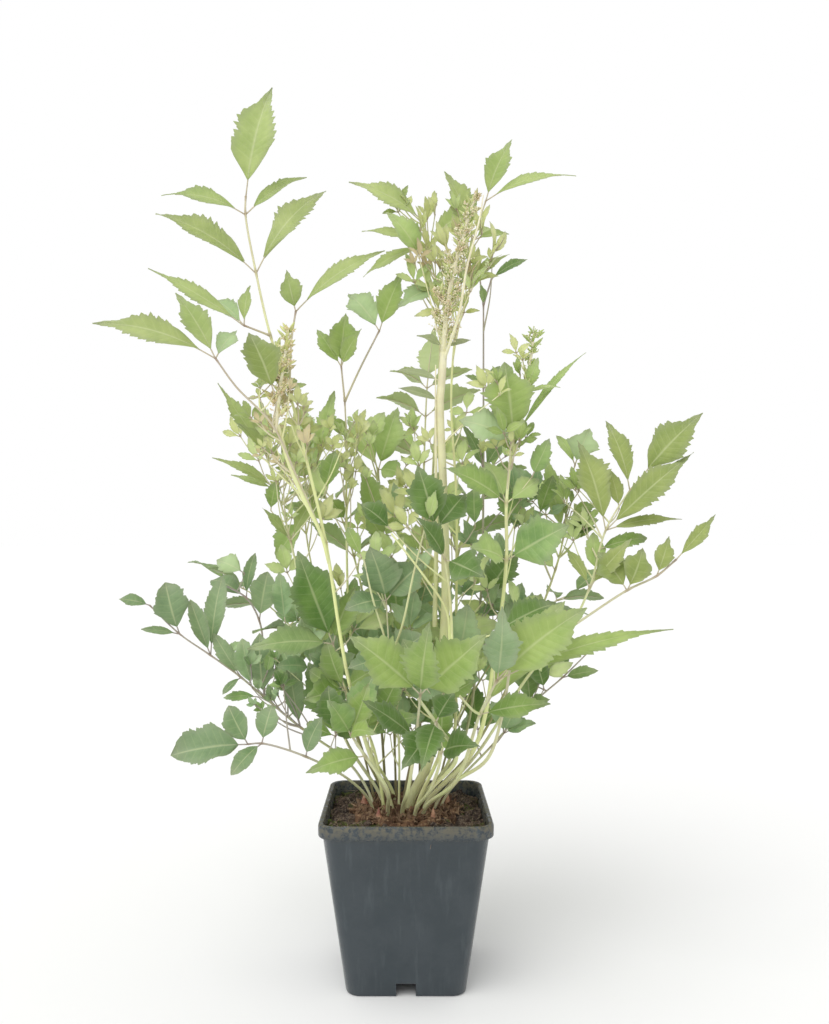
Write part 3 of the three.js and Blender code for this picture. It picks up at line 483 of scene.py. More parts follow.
def scatter(name, surface, rule, thing, skin, slot, **settings):
    """Litter on a surface, as dense as the rule says for each place in millimetres."""
    piece = surface.copy()
    piece.data = surface.data.copy()
    piece.name = name
    bpy.context.scene.collection.objects.link(piece)
    where = piece.data.attributes.new("where", "FLOAT", "POINT")
    where.data.foreach_set("value", [rule(*(c / MM for c in v.co)) for v in piece.data.vertices])
    run_nodes(piece, SCATTER, {"Thing": thing, "Skin": skin, **settings})
    drop(thing)
    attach(piece, "root")


def lump(name, size, seed):
    """A rough little clod."""
    bpy.ops.mesh.primitive_ico_sphere_add(subdivisions=1, radius=size * MM)
    clod = bpy.context.object
    clod.name = name
    for v in clod.data.vertices:
        swell = 1 + 0.45 * noise.noise(v.co * (900 / size) + Vector((seed, 0, 0)))
        v.co = Vector((v.co.x * swell, v.co.y * swell * 0.85, v.co.z * swell * 0.7))
    return clod


def strand(name, length, thickness, curl, kinks=7):
    """A thin bent thread that lies along the ground, three sided."""
    points = []
    for k in range(kinks + 1):
        t = k / kinks
        middle = (length * (t - 0.5), curl * math.sin(4.4 * t), 0.25 + 0.9 * math.sin(math.pi * t) ** 2)
        radius = thickness * (1 - 0.6 * abs(2 * t - 1))
        for i in range(3):
            angle = 2 * math.pi * i / 3
            points.append((middle[0], middle[1] + radius * math.cos(angle), middle[2] + radius * math.sin(angle)))
    return new_piece(name, points, ring_faces(kinks + 1, 3))


def tuft(name):
    """A tuft of moss: a few upright blades round a middle one."""
    points, faces = [], []
    for i in range(7):
        angle = 2 * math.pi * i / 6
        out = 0 if i == 6 else 0.75
        x, y = out * math.cos(angle), out * math.sin(angle)
        first = len(points)
        for k in range(3):
            turn = angle + 2 * math.pi * k / 3
            points.append((x + 0.26 * math.cos(turn), y + 0.26 * math.sin(turn), -0.3))
        points.append((1.9 * x, 1.9 * y, 1.5 - 0.5 * out))
        faces += [(first + k, first + (k + 1) % 3, first + 3) for k in range(3)]
        faces.append((first + 2, first + 1, first))
    return new_piece(name, points, faces, smooth=False)


def off_the_crown(x, y, z):
    return 0.0 if math.hypot(x, y) < BARE_MIDDLE else 1.0


def in_moss(x, y, z):
    return max(0.0, min(1.0, 4 * noise_at(x, y, 31, 16, 2) - 0.4)) * off_the_crown(x, y, z)


def mottled_skin(name, roughness, patches, first, second, **sockets):
    """A dull skin in two colours, the second in patches of that scale, share and softness over the first."""
    material, tree, shader = new_material(name, roughness, **sockets)
    set_inputs(tree, shader, {"Base Color": colour_mix(tree, place_patches(tree, *patches), first, second)})
    return material


fibre_skin = mottled_skin("peat_fibre", 0.85, (90, 0.5, 0.1), srgb(138, 112, 92), srgb(190, 172, 148))
moss_skin = mottled_skin("moss_green", 0.8, (300, 0.5, 0.15), srgb(88, 104, 48), srgb(138, 150, 80))

scatter("peat_crumbs", ground, off_the_crown, lump("clod", 1.0, 3), crumb_skin, "peat",
        Density=150000.0, Smallest=0.35, Largest=1.5, Tilt=3.1, Seed=11)
scatter("peat_clods", ground, off_the_crown, lump("big_clod", 1.9, 8), peat_skin, "peat",
        Density=16000.0, Smallest=0.6, Largest=1.4, Tilt=3.1, Seed=12)
scatter("peat_fibres", ground, off_the_crown, strand("fibre", 8, 0.16, 1.6), fibre_skin, "peat",
        Density=38000.0, Smallest=0.45, Largest=1.3, Tilt=0.4, Seed=13)
scatter("peat_moss", ground, in_moss, tuft("moss_tuft"), moss_skin, "peat",
        Density=420000.0, Smallest=0.5, Largest=1.05, Tilt=0.3, Seed=14)
drop(ground)

# ---------------------------------------------------------------- crown
# The woody crown at soil level, where every stem starts: a rough mound of old stem feet and matted brown
# sheaths, with the stubs of last year's stems and five plump new buds round its shoulder.
CROWN_RADIUS = 31.0
CROWN_RISE = 4.0
CROWN_SINK = 22.0
CROWN_POINTS = 150
CROWN_SHOULDER = 29.0
FEW_STUBS_WITHIN = 12.0
BUD_CIRCLE = 25.4
FIRST_BUD = 18.0
BUD_COUNT = 5
BUD_LAYERS = 4
BUD_SIDES = 10
BUD_STEPS = 8

crown_profile = [(0.75 * CROWN_RADIUS, -0.8 * CROWN_SINK), (CROWN_RADIUS, -2.0),
                 (0.96 * CROWN_RADIUS, 0.6 * CROWN_RISE), (0.9 * CROWN_RADIUS, CROWN_RISE), (0.0, CROWN_RISE)]
crown_rings = []
for (r0, z0), (r1, z1) in zip(crown_profile, crown_profile[1:]):
    steps = max(3, round(math.hypot(r1 - r0, z1 - z0) / 1.2))
    crown_rings += [(r0 + (r1 - r0) * k / steps, z0 + (z1 - z0) * k / steps) for k in range(steps)]
crown_rings.reverse()
crown_points = [(0, 0, SOIL_LEVEL - 1 + CROWN_RISE)]
for radius, z in crown_rings:
    for i in range(CROWN_POINTS):
        angle = 2 * math.pi * i / CROWN_POINTS
        x, y = radius * math.cos(angle), radius * math.sin(angle)
        rough = 1.3 * noise_at(x, y, z, 6, 5) + 0.7 * abs(noise_at(x, y, z + 50, 2.4, 3))
        out = 1 + rough / CROWN_RADIUS
        rise = rough if radius < CROWN_SHOULDER else 0.3 * rough
        crown_points.append((x * out, y * out, SOIL_LEVEL - 1 + z + rise))
crown_faces = disc_faces(len(crown_rings), CROWN_POINTS)
crown_faces.append(tuple(reversed(range(len(crown_points) - CROWN_POINTS, len(crown_points)))))
crown = new_piece("crown_mound", crown_points, crown_faces)

bark, tree, shader = new_material("crown_bark", 0.85, Specular_IOR_Level=0.3)
fibre = place_grain(tree, 620, 5, 0.35)
brown = colour_mix(tree, place_patches(tree, 130, 0.5, 0.1), srgb(84, 60, 44), srgb(128, 98, 74))
set_inputs(tree, shader, {"Base Color": colour_mix(tree, band(tree, fibre, 0.5, 0.72), brown, srgb(170, 142, 112)),
                          "Normal": bump_from(tree, fibre, 0.8, 0.0012)})
crown.data.materials.append(bark)
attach(crown, "root")
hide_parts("crown")


def curled_scale(name, halves, columns, cup, curl, length, thick):
    """A small pointed scale that cups upwards, from its half widths from foot to tip."""
    points, faces = [], []
    last = len(halves) - 1
    for k, half in enumerate(halves):
        for j in range(columns):
            across = 2 * j / (columns - 1) - 1
            points.append((half * across, cup * across ** 2 + curl * (k / last) ** 2, length * k / last))
    for k in range(last):
        for j in range(columns - 1):
            a = columns * k + j
            faces.append((a, a + 1, a + columns + 1, a + columns))
    scale = new_piece(name, points, faces)
    scale.modifiers.new("thick", "SOLIDIFY").thickness = thick * MM
    return as_plain_mesh(scale)


def capped_rings(name, points, count):
    """A solid from a first point and rings of points above it."""
    faces = [tuple(reversed(face)) for face in disc_faces(len(points) // count, count)]
    return new_piece(name, points, faces + [tuple(range(len(points) - count, len(points)))])


def stub(name):
    """The cut or withered foot of one of last year's stems."""
    points = [(0, 0, -1)]
    for radius, z in ((1.15, -1), (1.05, 1.8), (0.8, 3.3), (0.7, 3.4), (0.45, 3.0)):
        points += [(radius * (1 + 0.12 * math.sin(3 * i)) * math.cos(math.pi * i / 4),
                    radius * math.sin(math.pi * i / 4), z + 0.25 * math.sin(2.3 * i) * (z > 3)) for i in range(8)]
    return capped_rings(name, points, 8)


def on_the_crown(x, y, z):
    return 1.0 if z > SOIL_LEVEL - 3 and math.hypot(x, y) < CROWN_RADIUS else 0.0


def crown_edge(x, y, z):
    return on_the_crown(x, y, z) * (1.0 if math.hypot(x, y) > FEW_STUBS_WITHIN else 0.35)


sheath = curled_scale("sheath", [1.5 * (1 - (k / 4) ** 1.6) + 0.12 for k in range(5)], 5, 0.9, 0.7, 5.2, 0.22)
sheath_skin = mottled_skin("dry_sheath", 0.75, (160, 0.5, 0.14), srgb(106, 82, 64), srgb(158, 132, 106),
                           Specular_IOR_Level=0.3)
scatter("crown_sheaths", crown, on_the_crown, sheath, sheath_skin, "crown",
        Density=90000.0, Smallest=0.3, Largest=0.85, Tilt=1.0, Seed=21)
scatter("crown_stubs", crown, crown_edge, stub("stub"), bark, "crown",
        Density=11000.0, Smallest=0.7, Largest=1.25, Tilt=0.35, Seed=22)

bud_points, bud_faces = [], []
for index in range(BUD_COUNT):
    angle = math.radians(FIRST_BUD + 360 * index / BUD_COUNT)
    bx, by = BUD_CIRCLE * math.cos(angle), BUD_CIRCLE * math.sin(angle)
    for layer in range(BUD_LAYERS):
        bud_faces += ring_faces(BUD_STEPS + 1, BUD_SIDES, len(bud_points))
        for k in range(BUD_STEPS + 1):
            t = k / BUD_STEPS
            swell = (0.35 + 0.65 * math.sin(math.pi * min(1, 0.28 + 0.8 * t)) ** 0.8) * (1 - t ** 5)
            for i in range(BUD_SIDES):
                turn = 2 * math.pi * i / BUD_SIDES + 0.7 * layer
                radius = (2.3 - 0.32 * layer) * max(0.02, swell) * (1 + 0.09 * math.cos(turn - 1.6 * layer))
                bud_points.append((bx + radius * math.cos(turn), by + radius * math.sin(turn),
                                   SOIL_LEVEL + 1.2 + (4.6 + 1.1 * layer) * t))
crown_buds = new_piece("crown_buds", bud_points, bud_faces)
crown_buds.data.materials.append(
    mottled_skin("crown_bud", 0.5, (220, 0.5, 0.12), srgb(148, 88, 76), srgb(196, 152, 120)))
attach(crown_buds, "root")
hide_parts("crown")

# ---------------------------------------------------------------- fronds
# Each compound leaf is one piece: a wiry pale stem rooted in the crown, its side stalks, and thin pointed
# leaflets with saw-toothed edges and pressed-in veins. The stem is thickest at its foot and reddens upwards.
BLADE_THICKNESS = 0.2
STALK_SHARE = 0.13
STALK_START = 0.45
END_SEAT = 0.12
BLADE_FOLD = 0.22
BLADE_CAMBER = 0.07
ROOT_DEPTH = 12.0
FOOT_RISE = 5.5
PINNA_END = 0.75
TONES = {
    "young": dict(foot=1.7, end=0.8), "light": dict(foot=1.8, end=0.9), "mid": dict(foot=1.6, end=0.8),
    "dark": dict(foot=1.3, end=0.75), "blue": dict(foot=1.3, end=0.75), "stalk": dict(foot=2.8, end=2.3)}
UP = np.array((0.0, 0.0, 1.0))
FRONT_FACING = np.array((0.0, -0.85, 0.52))

# Each frond of the clump's front: its root on the crown, the points its stem passes, and its leaflets as (stem
# point, heading, lean, length, width). Headings are degrees in the front view, from +X towards up, and the lean
# is towards the front. A pinna is a side stalk from one point of the stem, with leaflets of its own, and the
# small leaflets come last. A frond may have a skin or stem skin other than its tone's (a deep skin is a darker
# green painted as shade, and a shaded stem skin is painted darker low down as shade), a slimmer stem by a share,
# single leaflets in a skin of their own, paler and thinner or darker as painted shade, and bare side stems: the
# left head stands on one, one runs beside the stout flower stalk and one in front of its head, and the rest cross
# the leaves of the middle. For each of those, its path, foot and end radius, and its reach.
FRONDS = [
    dict(name="tall_left", tone="young", root=(-8, -9), stem="bright", slim=0.9,
         rachis=[(-19, -16, 123), (-30, -24, 163), (-35, -28, 190), (-43, -32, 243), (-53, -34, 287), (-62, -36, 323),
                 (-72, -36, 353), (-80, -34, 387), (-86, -32, 419), (-86, -31, 429)],
         leaflets=[(9, 80, -5, 63, 23), (8, 165, 16, 43, 13), (8, 42, -23, 46, 10), (7, 147, 14, 58, 16),
                   (7, 59, -12, 65, 17), (5, 114, 12, 38, 18)],
         pinnae=[dict(at=6, path=[(-85, -42, 357)],
                      leaflets=[(0, 153, 10, 56, 9), (0, 87, -14, 25, 7), (0, 134, -33, 33, 11)]),
                 dict(at=3, path=[(-57, -42, 277), (-69, -50, 304), (-87, -54, 323), (-97, -56, 337)],
                      leaflets=[(3, 159, 7, 64, 13), (3, 122, -9, 39, 14), (3, 65, -38, 26, 10)]),
                 dict(at=5, path=[(-62, -26, 354), (-60, -24, 369)],
                      leaflets=[(1, 41, -14, 66, 10), (1, 106, 16, 22, 12)])],
         single={8: "pale", 11: "pale", 3: "grown", 4: "grown", 9: "grown"},
         bare=[([(-41.4, -31.2, 232), (-45, -34.5, 247), (-51, -38, 260), (-60, -43, 281), (-66.5, -47.5, 304)], 0.9,
                 1.2, (0.35, 0.62))]),
    dict(name="center_flower", tone="stalk", root=(2, -3), stem="cream",
         rachis=[(13, -8, 121), (18, -10, 155), (22, -12, 211), (21, -12, 267), (19, -12, 322), (20, -12, 333),
                 (21, -12, 352)],
         leaflets=[(4, 169, 23, 25, 6), (5, 162, -16, 28, 6)],
         small=[(6, 159, 20, 17, 6), (6, 37, -12, 19, 4)],
         bare=[([(16, -11, 196), (17, -12, 250), (16.5, -13, 300), (16.5, -12.5, 342)], 1.5, 0.35, (0.3, 0.85)),
               ([(21, -12.5, 344), (29, -23, 368), (33, -26, 392), (40, -27, 419), (42, -25, 432)], 0.95, 0.3,
                 (0.7, 1.0))]),
    dict(name="top_center", tone="young", root=(8, 3), skin="sunned", stem="bright", slim=0.8,
         rachis=[(25, 6, 117), (29, 6, 164), (29, 4, 210), (29, 3, 267), (26, 3, 325), (28, 3, 359), (33, 5, 389),
                 (39, 6, 418), (46, 5, 440)],
         leaflets=[(8, 71, 5, 37, 13), (8, 19, 12, 52, 9), (7, 116, 24, 40, 18), (7, 17, -23, 25, 6),
                   (6, 41, 9, 32, 8), (7, 49, -35, 31, 6)]),
    dict(name="top_back", tone="young", root=(-1, 7), skin="sunned", stem="shaded", slim=0.76,
         rachis=[(5, 12, 126), (11, 20, 185), (14, 20, 244), (17, 20, 304), (20, 18, 360), (18, 16, 392),
                 (13, 14, 417), (11, 12, 430)],
         leaflets=[(7, 152, 12, 49, 14), (6, 170, 15, 39, 8), (5, -142, 47, 38, 14), (6, -161, -13, 43, 9),
                   (6, 49, -22, 43, 14)],
         small=[(7, 67, 13, 18, 7)],
         single={2: "pale"}),
    dict(name="thin_right", tone="dark", root=(13, 9), stem="mauve",
         rachis=[(34, 19, 125), (45, 30, 208), (47, 32, 287), (47, 32, 338), (47, 32, 387)],
         leaflets=[(3, 49, -20, 18, 6), (2, 54, -27, 27, 9), (2, 117, 8, 30, 8)],
         pinnae=[dict(at=4, path=[(52, 32, 403)], leaflets=[(0, 32, -4, 26, 7)]),
                 dict(at=4, path=[(44, 30, 407)], leaflets=[(0, 112, 9, 13, 7)])],
         small=[(3, 153, 26, 13, 5), (4, 102, 35, 13, 5)]),
    dict(name="lobed", tone="mid", root=(-7, 13), skin="light", stem="bright", slim=0.85,
         rachis=[(-24, 22, 125), (-34, 28, 196), (-36, 30, 256), (-36, 30, 305), (-37, 30, 328)],
         leaflets=[(2, 129, 28, 20, 11)],
         pinnae=[dict(at=4, path=[(-39, 28, 349)],
                      leaflets=[(0, 86, 4, 32, 19), (0, 125, -11, 30, 11), (0, 61, 13, 27, 12)]),
                 dict(at=4, path=[(-28, 28, 347), (-16, 26, 370)],
                      leaflets=[(1, 66, 9, 37, 16), (1, 126, -17, 34, 17)])],
         small=[(3, 123, 19, 18, 8)],
         single={5: "pale"}),
    dict(name="right_buds", tone="light", root=(11, -6), skin="fresh", stem="bright",
         rachis=[(38, -10, 127), (50, -12, 183), (56, -12, 233), (56, -12, 265), (60, -12, 300), (66, -10, 326),
                 (69, -8, 339)],
         leaflets=[(4, 98, 8, 43, 27), (4, 152, 25, 33, 20), (5, 62, 6, 21, 8), (4, 58, -10, 80, 5),
                   (3, 149, 14, 41, 19), (3, 32, -21, 27, 14), (2, 39, 12, 39, 25), (2, 158, 39, 29, 20),
                   (3, 106, -29, 38, 15)],
         small=[(5, 18, -37, 23, 4)],
         single={1: "pale", 6: "inner_deep", 4: "mid", 0: "light"}),
    dict(name="right_top", tone="young", root=(17, -4), skin="ripe", slim=0.74,
         rachis=[(41, -6, 125), (69, -10, 169), (91, -12, 195), (102, -14, 218), (111, -14, 250), (124, -16, 272),
                 (130, -16, 279)],
         leaflets=[(6, 49, 7, 48, 22), (5, 103, -11, 42, 12), (4, 42, 17, 62, 16), (4, 91, -13, 54, 17),
                   (4, 12, 11, 41, 7), (3, 115, -17, 28, 7), (3, 54, 20, 35, 11)],
         pinnae=[dict(at=2, path=[(121, -22, 217), (136, -26, 225), (146, -28, 234)],
                      leaflets=[(2, 47, 7, 32, 8), (1, 68, -10, 22, 11), (0, 66, 9, 24, 16), (0, 127, -9, 26, 17)])],
         small=[(5, 8, 13, 18, 8)]),
    dict(name="right_inner", tone="mid", root=(14, 3), skin="fresh", stem="shaded", slim=0.72,
         rachis=[(41, 8, 126), (69, 12, 180), (88, 16, 227), (93, 18, 246), (96, 18, 274), (100, 18, 289)],
         leaflets=[(5, 71, 5, 23, 17), (5, 111, -10, 23, 8), (3, 107, 4, 54, 10), (4, 18, -26, 19, 8),
                   (3, 48, -11, 30, 9), (3, 22, 23, 20, 11)],
         small=[(4, 47, 18, 20, 8), (2, 136, 23, 20, 9)],
         single={0: "pale"}),
    dict(name="long_right", tone="light", root=(10, -15),
         rachis=[(27, -36, 117), (38, -52, 155), (46, -60, 174)],
         leaflets=[(2, 45, 12, 58, 24), (2, 20, -2, 94, 10), (1, 53, -14, 77, 22), (2, 86, 31, 42, 18),
                   (1, 24, 13, 36, 13)],
         single={3: "blue_light", 4: "mid"},
         bare=[([(38, -52, 155), (34, -57, 158), (27, -61, 166)], 0.8, 0.6, (0.3, 0.6)),
               ([(27, -36, 117), (42, -48, 131), (49, -54, 154), (53, -56, 180)], 1.0, 0.7, (0.3, 0.9))]),
    dict(name="dark_right", tone="dark", root=(21, 1), stem="mauve", slim=0.8,
         rachis=[(49, 12, 123), (74, 22, 146), (94, 26, 162), (111, 28, 178)],
         leaflets=[(2, 97, -24, 20, 11), (1, 94, -18, 26, 14), (2, 13, 17, 21, 8)],
         small=[(3, 42, 0, 16, 5), (1, 27, 44, 14, 9)]),
    dict(name="left_low", tone="blue", root=(-19, 0), stem="mauve", slim=0.85,
         rachis=[(-32, 8, 114), (-62, 16, 134), (-84, 20, 151), (-98, 20, 163), (-116, 20, 176), (-134, 18, 189),
                 (-151, 16, 206)],
         leaflets=[(6, 165, 7, 18, 8), (5, 99, -15, 31, 20), (5, 171, 33, 22, 5), (4, 86, -16, 50, 14),
                   (4, 106, 16, 36, 10), (3, 118, -16, 30, 11), (2, 95, 15, 39, 16), (1, 101, 15, 39, 12)],
         pinnae=[dict(at=2, path=[(-87, 36, 177), (-90, 38, 195), (-98, 38, 209), (-110, 38, 216)],
                      leaflets=[(2, 140, -10, 35, 15), (2, 85, -8, 28, 8), (1, 88, -15, 30, 17)])],
         small=[(3, -138, 47, 16, 5)],
         single={1: "blue_deep"}),
    dict(name="left_fall", tone="blue", root=(-19, -8), stem="mauve", slim=0.85,
         rachis=[(-30, -20, 112), (-54, -30, 128), (-77, -34, 136), (-84, -36, 136)],
         leaflets=[(3, -176, 12, 40, 21), (3, 122, -5, 23, 13), (2, 76, -18, 20, 13), (2, -141, 48, 24, 9),
                   (1, 72, 23, 26, 11)],
         single={0: "blue_deep"}),
    dict(name="front_left", tone="light", root=(-10, -17),
         rachis=[(-10, -36, 112), (-21, -50, 133), (-28, -58, 146)],
         leaflets=[(2, 118, 25, 24, 16), (2, 74, 26, 27, 13), (1, 158, 42, 33, 12), (2, 35, 60, 30, 11)],
         single={0: "inner_deep", 2: "mid"}),
    dict(name="front_center", tone="light", root=(-2, -17),
         rachis=[(1, -38, 112), (5, -60, 144), (7, -74, 169)],
         leaflets=[(2, 139, 13, 46, 24), (2, 41, 20, 46, 25), (2, 84, 43, 49, 17), (1, 128, 43, 41, 13)],
         single={2: "mid", 3: "deep"}),
    dict(name="front_low", tone="mid", root=(5, -19), skin="deep",
         rachis=[(13, -36, 112), (18, -54, 136), (15, -66, 154)],
         leaflets=[(2, -158, 36, 34, 18), (2, 61, -19, 18, 15), (1, 32, 52, 33, 15), (2, -121, 66, 41, 13)],
         bare=[([(13, -36, 112), (26, -50, 132), (17, -63, 150), (6, -68, 166)], 1.1, 0.8, (0.3, 0.6))]),
    dict(name="mid_left", tone="mid", root=(-13, -3), stem="bright", slim=0.85,
         rachis=[(-19, -2, 128), (-34, -6, 160), (-41, -8, 186)],
         leaflets=[(2, 113, 8, 56, 26), (2, 175, 25, 48, 17), (1, -168, 34, 25, 20), (2, 73, -10, 35, 16)],
         single={0: "deep_fresh", 1: "dark"}),
    dict(name="left_upper", tone="young", root=(-14, 6), slim=0.8,
         rachis=[(-35, 10, 128), (-55, 14, 186), (-68, 16, 244), (-76, 16, 274), (-82, 14, 294)],
         leaflets=[(4, 127, 9, 50, 9), (4, 95, -10, 35, 12), (3, 149, 20, 41, 7), (4, 123, 40, 28, 9),
                   (3, 66, -9, 40, 12), (3, 163, -8, 30, 5), (2, 64, -16, 37, 10), (2, 128, 27, 26, 7)]),
    dict(name="left_back", tone="mid", root=(-13, 11), skin="fresh", stem="shaded", slim=0.7,
         rachis=[(-30, 26, 127), (-50, 34, 196), (-62, 40, 257), (-58, 42, 288)],
         leaflets=[(3, 71, -2, 51, 12), (3, 102, -9, 49, 14), (3, 43, 36, 20, 13), (2, -128, -11, 32, 16),
                   (2, 15, -26, 27, 16), (3, 127, -29, 29, 14)],
         single={1: "pale"}),
    dict(name="mid_center", tone="dark", root=(-4, -6), skin="blue", slim=0.78,
         rachis=[(-4, -8, 129), (-9, -12, 178), (-11, -14, 211)],
         leaflets=[(2, 104, 18, 33, 22), (2, 60, 28, 30, 20), (2, 176, 44, 26, 17), (1, 34, 28, 26, 20),
                   (1, -175, 42, 27, 15)],
         bare=[([(-9, -12, 178), (-2, -24, 198), (4, -29, 226), (11, -31, 254)], 0.8, 0.45, (0.3, 0.6)),
               ([(-9, -12, 178), (-12, -20, 192), (-18, -24, 212), (-23, -24, 234)], 0.8, 0.5, (0.3, 0.6))]),
    dict(name="upper_mid", tone="mid", root=(3, 13), skin="fresh", stem="shaded", slim=0.7,
         rachis=[(2, 20, 127), (-7, 36, 183), (-14, 40, 244), (-17, 42, 288)],
         leaflets=[(3, 72, -3, 41, 19), (3, 122, -12, 39, 16), (2, 112, 7, 52, 16), (2, 65, -22, 31, 15),
                   (2, 114, 21, 28, 13), (1, 56, -26, 32, 19)],
         small=[(3, 1, 39, 19, 16)]),
    dict(name="right_center", tone="mid", root=(6, -10), skin="deep", stem="bright",
         rachis=[(21, -18, 134), (25, -24, 190), (21, -28, 234), (16, -30, 250)],
         leaflets=[(3, 106, 6, 36, 22), (3, 52, -15, 32, 17), (2, -16, 24, 25, 19), (2, 135, 28, 34, 14)],
         bare=[([(24, -23, 186), (22, -26, 206), (9, -30, 226), (-8, -30, 248)], 0.85, 0.5, (0.3, 0.6)),
               ([(24, -22, 180), (34, -28, 189), (46, -34, 194)], 0.7, 0.45, (0.3, 0.6))]),
]
# Fronds behind the clump, which follow one rule: azimuth from +X, and how far and how high they reach.
BACK_FRONDS = [
    dict(name="back_high", tone="young", root=(8, 18), azimuth=84, reach=62, height=262, blade=38, seed=11,
         stem="shaded", slim=0.7),
    dict(name="back_left", tone="mid", root=(-12, 19), azimuth=122, reach=76, height=186, blade=36, seed=23,
         stem="shaded", slim=0.72),
    dict(name="back_right", tone="mid", root=(13, 21), azimuth=55, reach=76, height=200, blade=36, seed=37,
         stem="shaded", slim=0.72),
    dict(name="back_low", tone="blue", root=(-6, 22), azimuth=99, reach=58, height=104, blade=32, seed=41,
         stem="shaded", slim=0.75),
    dict(name="left_rear", tone="dark", root=(-19, 12), azimuth=150, reach=112, height=128, blade=32, seed=53,
         stem="shaded", slim=0.7),
    dict(name="right_rear", tone="dark", root=(18, 14), azimuth=33, reach=108, height=120, blade=34, seed=67,
         stem="shaded", slim=0.7),
]


def random_from(seed):
    """Draws between 0 and 1, the same ones each time for a seed."""
    state = seed
    while True:
        state = state * 16807 % 2147483647
        yield state / 2147483647


def unit(v):
    return v / np.linalg.norm(v)


def heading_vector(heading, lean):
    h, e = math.radians(heading), math.radians(lean)
    return np.array((math.cos(h) * math.cos(e), -math.sin(e), math.sin(h) * math.cos(e)))


def make_leaflet(base, along, facing, length, width):
    side = unit(np.cross(facing, along))
    return dict(base=base, along=along, side=side, up=unit(np.cross(along, side)), length=length, width=width)


def leaflet_from(points, at, along, facing, length, width):
    start = -END_SEAT if at == len(points) - 1 else STALK_START
    return make_leaflet(points[at] + along * start, along, facing, length, width)


def leaflet_rows(rows, points):
    return [leaflet_from(points, at, heading_vector(heading, lean), FRONT_FACING, length, width)
            for at, heading, lean, length, width in rows]


def main_stem(spec, rachis):
    """The stem from its root in the crown through the points of the rachis."""
    x, y = spec["root"]
    foot = [np.array((0.9 * x, 0.9 * y, SOIL_LEVEL - ROOT_DEPTH)), np.array((x, y, SOIL_LEVEL + FOOT_RISE))]
    return dict(TONES[spec["tone"]], points=foot + rachis)


def grow_frond(spec):
    rachis = [np.array(p, float) for p in spec["rachis"]]
    stems = [main_stem(spec, rachis)]
    leaflets = leaflet_rows(spec["leaflets"], rachis)
    for pinna in spec.get("pinnae", []):
        path = [np.array(p, float) for p in pinna["path"]]
        stems.append(dict(points=[rachis[pinna["at"]], *path], foot=stems[0]["end"], end=PINNA_END))
        leaflets += leaflet_rows(pinna["leaflets"], path)
    return {**spec, "stems": stems, "leaflets": leaflets, "small": leaflet_rows(spec.get("small", []), rachis)}


def grow_back_frond(spec):
    """A frond that arches outwards, with leaflets in pairs up its stem and a last one at the end."""
    draw = random_from(spec["seed"])
    x, y = spec["root"]
    angle = math.radians(spec["azimuth"])
    outwards = np.array((math.cos(angle), math.sin(angle), 0.0))
    rachis = [np.array((x, y, SOIL_LEVEL)) + outwards * spec["reach"] * u ** 1.6
              + UP * spec["height"] * (1 - (1 - u) ** 1.4) for u in (0.25, 0.5, 0.66, 0.8, 0.92, 1)]
    facing = unit(UP + 0.7 * outwards)
    leaflets = []

    def add_blade(k, along, length):
        leaflets.append(leaflet_from(rachis, k, along, facing, length, length * (0.38 + 0.1 * next(draw))))

    for k, spread, length in ((2, 62, 1.05), (3, 58, 1.0), (4, 52, 0.85)):
        tangent = unit(rachis[k] - rachis[k - 1])
        side = unit(np.cross(facing, tangent))
        for hand in (-1, 1):
            turn = math.radians(spread + 12 * (next(draw) - 0.5))
            along = tangent * math.cos(turn) + side * hand * math.sin(turn)
            along = unit(along - UP * 0.25 * next(draw))
            add_blade(k, along, spec["blade"] * length * (0.88 + 0.24 * next(draw)))
    add_blade(5, tangent, spec["blade"] * 1.15)
    return {**spec, "stems": [main_stem(spec, rachis)], "leaflets": leaflets, "small": []}


def curve_point(points, t):
    """A point of the smooth curve through the points, t running from 0 to 1 in equal steps between them."""
    last = len(points) - 1
    span = min(int(last * t), last - 1)
    w = last * t - span
    p1, p2 = points[span], points[span + 1]
    p0 = points[span - 1] if span > 0 else 2 * p1 - p2
    p3 = points[span + 2] if span + 2 <= last else 2 * p2 - p1
    d0, d1, d2 = (math.sqrt(np.linalg.norm(b - a)) for a, b in ((p0, p1), (p1, p2), (p2, p3)))
    t1 = ((p1 - p0) / d0 - (p2 - p0) / (d0 + d1) + (p2 - p1) / d1) * d1
    t2 = ((p2 - p1) / d1 - (p3 - p1) / (d1 + d2) + (p3 - p2) / d2) * d1
    return p1 + t1 * w + (3 * (p2 - p1) - 2 * t1 - t2) * w ** 2 + (2 * (p1 - p2) + t1 + t2) * w ** 3


# Leaflets keep clear of each other: each takes the first of these turns, in degrees in its own plane and then
# upwards, in which it touches nothing, or else nothing of another frond's.
SAMPLE_STEP = 3.0
CELL = 8.0
LEAF_GAP = 3.6
SMALL_GAP = 1.5
OWN_GAP = 1.8
OWN_REACH = 9.0
POT_GAP = 3.0
TURNS = [(0, 0), (0, 13), (0, -13), (11, 0), (-11, 0), (10, 18), (-10, 18), (10, -18), (-10, -18),
         (0, 30), (0, -30), (22, 0), (-22, 0)]
ROOM_FOR = 80000
taken = dict(places=np.zeros((ROOM_FOR, 3)), sizes=np.zeros(ROOM_FOR), owners=np.zeros(ROOM_FOR, int), count=0)
owner_numbers = {}


def occupy(points, radius, owner):
    first, last = taken["count"], taken["count"] + len(points)
    taken["places"][first:last] = points
    taken["sizes"][first:last] = radius
    taken["owners"][first:last] = owner_numbers.setdefault(owner, len(owner_numbers))
    taken["count"] = last


def gaps_to(samples, places, sizes):
    """How near the places come to each sample, less their own radius."""
    near = np.all((places > samples.min(0) - CELL) & (places < samples.max(0) + CELL), axis=1)
    if not near.any():
        return np.full(len(samples), CELL)
    apart = np.linalg.norm(samples[:, None, :] - places[None, near, :], axis=2) - sizes[None, near]
    return np.minimum(apart.min(1), CELL)


